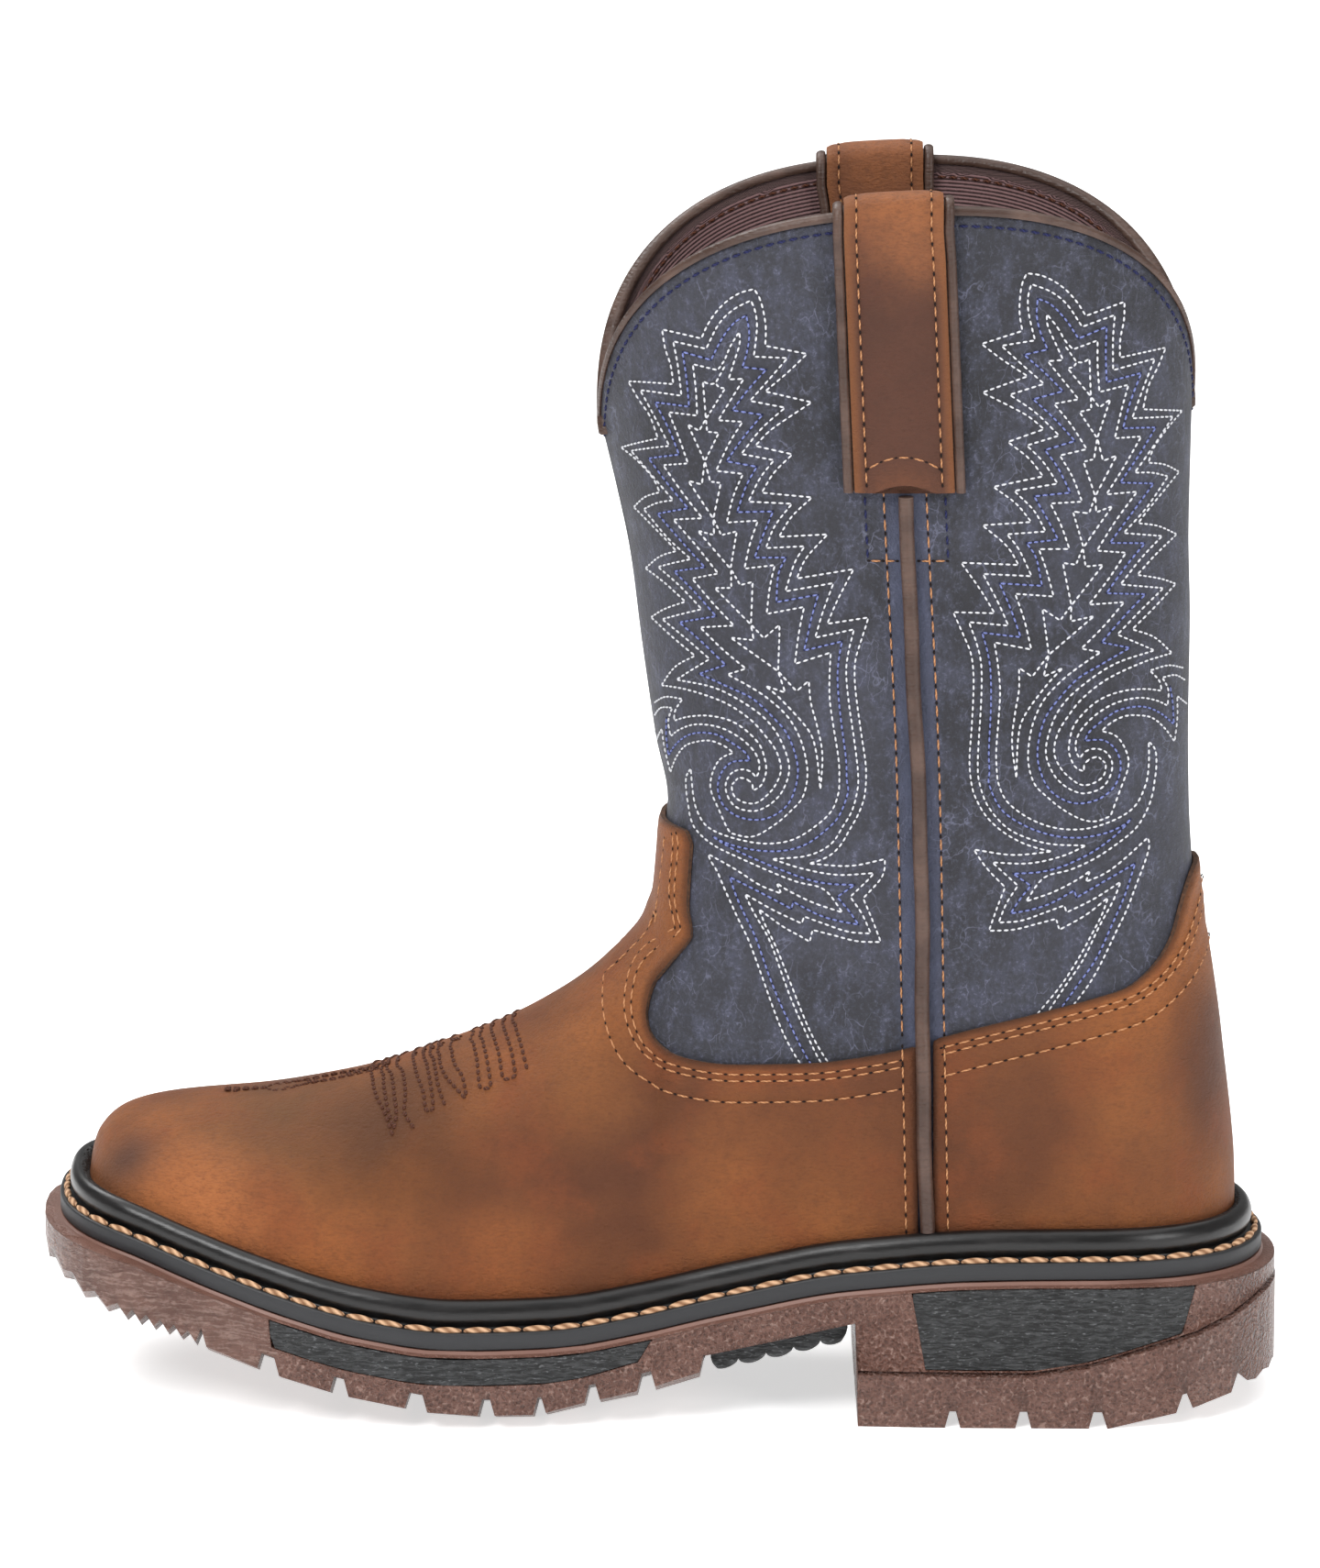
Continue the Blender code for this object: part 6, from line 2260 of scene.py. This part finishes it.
@dataclass
class Sole:
    """Brown unit sole with lugs, and the black pieces let into it."""

    last: Last
    shop: Workshop
    welt_lip: float = 9.0
    rib: float = 0.45
    band: float = 1.5
    insert_height: float = 7.0
    heel_insert_bottom: float = 14.2
    insert_depth: float = 1.8
    insert_gap: float = 0.3
    lug_depth: float = 4.2
    tooth_depth: float = 2.2
    crown: float = 4.0
    toe_flare: float = 3.0
    heel_flare: float = 2.4
    side_flare: float = 0.9
    breast_x: float = 49.0
    waist_x: float = 10.0
    breast_rake: float = 0.4
    lug_draft: float = 1.1
    toe_teeth_end: float = -108.3
    tooth_pitch: float = 1.65
    heel_tooth: float = 0.78
    bevel_x: float = 110.0
    bevel_slope: float = 0.20
    step: float = 0.9
    full_width: float = 25.0
    crisp: float = 38.0
    worn: float = 0.45
    grip: tuple[float, float] = (12.5, 46.5)
    grip_height: float = 5.2
    grip_notch: float = 1.7
    grip_lumps: int = 5
    grip_nose: float = 0.05
    # degrees round the toe's end at which its first teeth stand
    toe_turns: tuple[float, ...] = (0.0, 12.0, 24.0, 35.0)
    # x where each insert starts at its top, reaches its full height, begins to taper, and ends at its top
    forefoot_insert: tuple[float, ...] = (-92.0, -91.4, -6.5, -3.0)
    heel_insert: tuple[float, ...] = (62.0, 65.5, 122.6, 125.0)
    columns: tuple[float, ...] = (0.12, 0.46, 0.48, 0.52, 0.54, 0.88)
    channel: tuple[float, float] = (0.47, 0.53)
    # x and height of the lugs' lower ends, then of the waist's underside
    tread: Rows = (
        (-153.0, 33.0), (-139.0, 23.6), (-116.0, 16.2), (-96.0, 9.6), (-79.0, 5.2), (-63.0, 2.2),
        (-48.0, 0.0), (-32.0, 0.0), (-18.0, 2.7), (-4.0, 5.4), (10.0, 9.4),
    )
    waist: Rows = ((11.0, 17.5), (30.0, 21.5), (49.0, 26.0))
    # x of the front and the back of each lug
    forefoot_lugs: Rows = (
        (-106.5, -94.7), (-89.6, -78.4), (-73.9, -61.6), (-56.5, -44.5), (-40.4, -31.6), (-28.6, -19.3),
        (-15.5, -6.8), (-2.3, 9.5),
    )
    heel_lugs: Rows = ((49.4, 70.3), (74.0, 86.9), (90.8, 104.8), (108.7, 121.3), (124.2, 131.0))

    def __post_init__(self) -> None:
        """Fit the curves of the tread."""
        self.tread_line, self.waist_line = table_curve(self.tread), table_curve(self.waist)
        self.inserts = (self.forefoot_insert, self.heel_insert)

    def flare(self, x: float) -> float:
        """How far the sole's side stands outside the feather line."""
        toe, heel = self.toe_flare * ease(-x, 95.0, 135.0), self.heel_flare * ease(x, 95.0, 138.0)
        return float(self.welt_lip + self.side_flare + toe + heel)

    def stations(self) -> list[Station]:
        """Stations from toe to heel.

        Returns:
            x, lug share and stretch of each.
        """
        toe_x, heel_x = self.last.plan[0][0], self.last.plan[-1][0]
        toe = [toe_x - (toe_x - self.last.toe_tip) * math.cos(a) for a in np.radians(self.toe_turns)]
        toe += list(np.arange(toe[-1] + self.tooth_pitch, self.toe_teeth_end, self.tooth_pitch))
        found = [(x, float(i % 2 == 0), Stretch.TEETH) for i, x in enumerate(toe)]
        found += self.lug_corners(self.forefoot_lugs, Stretch.FOREFOOT)
        waist = np.linspace(self.waist_x + 1.0, self.breast_x - self.breast_rake, 9)
        found += [(x, 0.0, Stretch.WAIST) for x in waist]
        found += self.lug_corners(self.heel_lugs, Stretch.HEEL)[1:]
        last = found[-1][0]
        for i, a in enumerate(np.radians(np.arange(90, -1, -5))):
            x = heel_x + (self.last.heel_back - heel_x) * math.cos(a)
            if x > last + 0.6:
                found.append((x, self.heel_tooth if i % 2 else 1.0, Stretch.HEEL))
        return self.insert_ends(found)

    def lug_corners(self, lugs: Rows, stretch: Stretch) -> list[Station]:
        """Stations of each lug: root, foot, foot, root.

        Args:
            lugs: x of the front and the back of each lug.
            stretch: Stretch of the sole that they stand on.

        Returns:
            The stations.
        """
        draft, corners = self.lug_draft, []
        for front, back in lugs:
            ends = ((front - draft, 0.0), (front, 1.0), (back, 1.0), (back + draft, 0.0))
            corners += [(x, lug, stretch) for x, lug in ends]
        return corners

    def insert_ends(self, found: list[Station]) -> list[Station]:
        """Add the steps at the ends of the insert pockets.

        Args:
            found: Stations of the sole.

        Returns:
            The stations with those of the pockets.
        """
        half = self.last.gap / 2
        for start, full, taper, end in self.inserts:
            for x in (start - half, start, start + half, full, taper, end - half, end, end + half):
                after = next(i for i, s in enumerate(found) if s[0] > x)
                before, behind = found[after - 1], found[after]
                share = (x - before[0]) / (behind[0] - before[0])
                found.insert(after, (x, before[1] + share * (behind[1] - before[1]), behind[2]))
        return found

    def in_insert(self, x: float) -> bool:
        """Whether x lies in a pocket."""
        half = self.last.gap / 2 - 0.01
        return any(ends[0] + half < x < ends[-1] - half for ends in self.inserts)

    def span(self, x: float, face_x: float) -> tuple[float, float, float]:
        """Heights at a station.

        Args:
            x: Station.
            face_x: x of the sole's side there.

        Returns:
            Height of the ridge under the inserts, and of a pocket's lower and upper edge.
        """
        high = float(self.last.sole_top(face_x)) - self.band
        if x > self.breast_x - self.breast_rake:
            rise = 10.5 * float(ease(x, 92.0, 134.0)) + 6.0 * float(ease(x, 126.0, 141.0))
            line = min(self.heel_insert_bottom + rise, high - 1.4 - 5.6 * (x < 125.5))
        else:
            line = high - self.insert_height * (1 - 0.3 * float(ease(x, -30.0, 0.0)))
        low = line
        for start, full, taper, end in self.inserts:
            if start <= x <= end:
                share = min(1.0, (x - start) / (full - start), (end - x) / (end - taper))
                low = high - max(0.5, (high - line) * share)
        return line, low, high

    def underside(self, x: float, lug: float, stretch: Stretch) -> float:
        """Height of the sole's underside along its middle.

        Args:
            x: Place along the sole.
            lug: 1 on a lug and 0 between lugs.
            stretch: Stretch of the sole.

        Returns:
            The height.
        """
        if stretch is Stretch.WAIST:
            return float(self.waist_line(x))
        if stretch is Stretch.HEEL:
            return self.bevel_slope * max(0.0, x - self.bevel_x) + self.lug_depth * (1 - lug)
        depth = self.tooth_depth if stretch is Stretch.TEETH else self.lug_depth
        return float(self.tread_line(x)) + depth * (1 - lug)

    def fullness(self, x: float) -> float:
        """0 at the tip of toe and heel, where the tread runs out to a point, and 1 along the sole."""
        outer, inner = (self.last.edge_point(side, x, 0.0) for side in Side)
        return min(1.0, (inner[1] - outer[1]) / self.full_width)

    def section(self, x: float, lug: float, stretch: Stretch) -> tuple[list[Any], list[float], list[float]]:
        """Cross-section at a station.

        Args:
            x: Station.
            lug: 1 on a lug and 0 between lugs.
            stretch: Stretch of the sole.

        Returns:
            Points, and the shares of smooth band and of painted shade in recesses at each.
        """
        full, flare = self.fullness(x), self.flare(x)
        pocket = self.insert_depth if self.in_insert(x) else 0.0
        step = self.step * full if stretch is Stretch.HEEL else 0.0
        crown = self.crown * full if stretch in (Stretch.TEETH, Stretch.FOREFOOT) else 0.0
        offsets = (self.welt_lip, self.welt_lip + self.rib, flare, flare - pocket)
        offsets += (flare - 0.6 * step, flare + step)
        edges = []
        for side in Side:
            places = (self.last.edge_point(side, x, offset) for offset in offsets)
            top, rib, face, deep, groove, lower = places
            foot = self.underside(face[0], lug, stretch) + crown
            line, low, high = self.span(x, face[0])
            line = max(line, foot + 1.4)
            low = max(low, line)
            high = max(high, low + 0.4)
            roof = float(self.last.sole_top(top[0]))
            edge = [(*top, roof), (*rib, (roof + high) / 2), (*face, high), (*deep, high - 0.15)]
            edge += [(*deep, low + 0.15), (*face, low), (*face, line - 0.35), (*groove, line - 0.75)]
            edges.append(edge + [(*lower, line - 1.35), (*lower, foot)])
        outer, inner = edges
        under = []
        for share in self.columns:
            at_x, at_y = ((1 - share) * outer[-1][i] + share * inner[-1][i] for i in (0, 1))
            channel = self.channel[0] < share < self.channel[1] and stretch is not Stretch.WAIST
            under.append((at_x, at_y, self.underside(at_x, lug * (1 - full * channel), stretch)))
        band = [1.0, 1.0, 0.5] + [0.0] * 7
        # painted shade in the recesses: the pockets behind the inserts, the groove above the heel's step, and
        # between the lugs
        dark, ridge = float(pocket > 0), 0.7 * float(step > 0)
        recess_shade = [0, 0, 0, dark, dark, 0, 0, ridge, 0, 0.35 * (1 - lug)]
        middle, floor = [0.0] * len(under), [0.8 * (1 - lug)] * len(under)
        return outer + under + inner[::-1], band + middle + band[::-1], recess_shade + floor + recess_shade[::-1]

    def build(self) -> None:
        """Make the sole and the pieces let into it."""
        sections, band, recess_shade = zip(*(self.section(*station) for station in self.stations()))
        marks = {"band": np.concatenate(band), "recess_shade": np.concatenate(recess_shade)}
        skin = loft(sections, capped=False)
        obj = self.shop.piece("sole_unit", skin, Look.SOLE, node="outsole", crisp=self.crisp, **marks)
        edges = obj.modifiers.new("worn_edges", "BEVEL")
        edges.width, edges.segments = self.worn * MM, 2
        edges.limit_method, edges.angle_limit = "ANGLE", math.radians(self.crisp)
        for side in Side:
            self.build_insert("forefoot_insert", side, self.forefoot_insert)
            self.build_insert("heel_insert", side, self.heel_insert)
        self.build_grip()

    def build_insert(self, name: str, side: Side, ends: tuple[float, ...]) -> None:
        """Black panel that fills a pocket on one side.

        Args:
            name: Name of the panel.
            side: Side of the boot.
            ends: Where the pocket starts, is full, tapers and ends.
        """
        sections, gap = [], self.insert_gap
        for x in np.linspace(ends[0] + 0.35, ends[-1] - 0.35, 80):
            insets = (0.08, self.insert_depth - 0.2)
            face, deep = (self.last.edge_point(side, x, self.flare(x) - inset) for inset in insets)
            _, low, high = self.span(x, face[0])
            low, high = min(low + gap, high - gap), high - gap
            front = [(*face, low + (high - low) * share) for share in (0, 0.33, 0.67, 1)]
            sections.append([(*deep, low), *front, (*deep, high)])
        node = f"{name}_{side.word}"
        self.shop.piece(f"{node}_panel", loft(sections), Look.INSERT, node=node, crisp=40.0)

    def build_grip(self) -> None:
        """Black block under the waist with rounded lumps."""
        sections = []
        for share in np.linspace(0, 1, 81):
            x = self.grip[0] + share * (self.grip[1] - self.grip[0])
            top = float(self.waist_line(x)) - self.last.gap
            nose = min(1.0, share / self.grip_nose, (1 - share) / self.grip_nose) ** 0.5
            lump = abs(math.sin(self.grip_lumps * math.pi * share)) ** 0.55
            low = top - (self.grip_height - self.grip_notch * (1 - lump)) * (0.5 + 0.5 * nose)
            rows = ((2.5, top), (2.5, low + 1.2), (2.9, low + 0.4), (3.7, low))
            section = []
            for side, order in ((Side.OUTER, rows), (Side.INNER, rows[::-1])):
                section += [(*self.last.edge_point(side, x, self.welt_lip - inset), z) for inset, z in order]
            sections.append(section)
        self.shop.piece("waist_grip_block", loft(sections), Look.INSERT, node="waist_grip", crisp=50.0)


@dataclass
class Studio:
    """Pale floor, soft lights and the camera."""

    view: Viewpoint
    floor_size: float = 6.0
    floor_glow: float = 0.6
    sky: float = 0.24
    # name, place, aim, size and power of each light
    lights: tuple[tuple[str, Colour, Colour, float, float], ...] = (
        ("key", (-0.9, -1.5, 1.6), (0.0, 0.0, 0.12), 0.9, 34.0),
        ("fill", (1.4, -1.2, 0.7), (0.0, 0.0, 0.14), 0.8, 12.0),
        ("top", (0.0, 0.5, 2.6), (0.0, 0.5, 0.0), 4.0, 78.0),
        ("rim", (-0.7, 1.1, 1.5), (-0.05, 0.0, 0.10), 0.9, 11.0),
    )

    def build(self) -> None:
        """Set up camera, floor, sky and lights."""
        scene = bpy.context.scene
        scene.camera = self.view.make_camera()
        half = self.floor_size / 2
        corners = [(-half, -half, 0), (half, -half, 0), (half, half, 0), (-half, half, 0)]
        mesh = bpy.data.meshes.new("floor")
        mesh.from_pydata(corners, [], [(0, 1, 2, 3)])
        g = Graph("floor_paper")
        grain = g.noise(g.place(), 900.0, 2.0)
        colour = g.mix(grain.between(0.3, 0.7), (0.86, 0.86, 0.86), (0.89, 0.89, 0.89))
        glow = {"Emission_Color": (1.0, 1.0, 1.0), "Emission_Strength": self.floor_glow}
        mesh.materials.append(g.finish(Base_Color=colour, Roughness=0.9, **glow))
        floor = bpy.data.objects.new("floor", mesh)
        scene.collection.objects.link(floor)
        scene.world = bpy.data.worlds.new("studio")
        scene.world.use_nodes = True
        background = scene.world.node_tree.nodes["Background"]
        background.inputs["Color"].default_value = (1.0, 1.0, 1.0, 1.0)
        background.inputs["Strength"].default_value = self.sky
        for name, place, aim, size, power in self.lights:
            self.add_light(name, np.array(place), np.array(aim), size, power)
        scene.view_settings.view_transform = "Standard"

    def add_light(self, name: str, place: Array, aim: Array, size: float, power: float) -> None:
        """Square soft light.

        Args:
            name: Name of the light.
            place: Where it hangs, in metres.
            aim: What it points at.
            size: Length of its side.
            power: Watts.
        """
        data = bpy.data.lights.new(name, "AREA")
        data.energy, data.size = power, size
        light = bpy.data.objects.new(name, data)
        light.location = place.tolist()
        ahead = unit(aim - place)
        flat = math.hypot(ahead[0], ahead[1])
        light.rotation_euler = (math.atan2(flat, -ahead[2]), 0.0, math.atan2(-ahead[0], ahead[1]))
        bpy.context.scene.collection.objects.link(light)


def finish_insole(nodes: dict[str, bpy.types.Object], shop: Workshop) -> None:
    """Give the insole, the one CAD node that stays, its finish.

    Args:
        nodes: CAD nodes by name.
        shop: Workshop with the finishes.
    """
    materials = nodes["insole"].data.materials
    materials.clear()
    materials.append(shop.looks[Look.FOOTBED])
    LOG.info("insole keeps its solid")


def main() -> None:
    """Build the boot piece by piece."""
    logging.basicConfig(level=logging.INFO, format="%(name)s: %(message)s")
    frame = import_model()
    last, view = Last(), Viewpoint()
    Studio(view).build()
    shop = Workshop()
    Sole(last, shop).build()
    Welt(last, shop).build()
    Shaft(last, shop).build()
    Foot(last, shop, view).build()
    SideSeams(last, shop).build()
    PullStraps(last, shop).build()
    Flame(last, shop, view).build()
    finish_insole(frame["nodes"], shop)


if __name__ == "__main__":
    main()
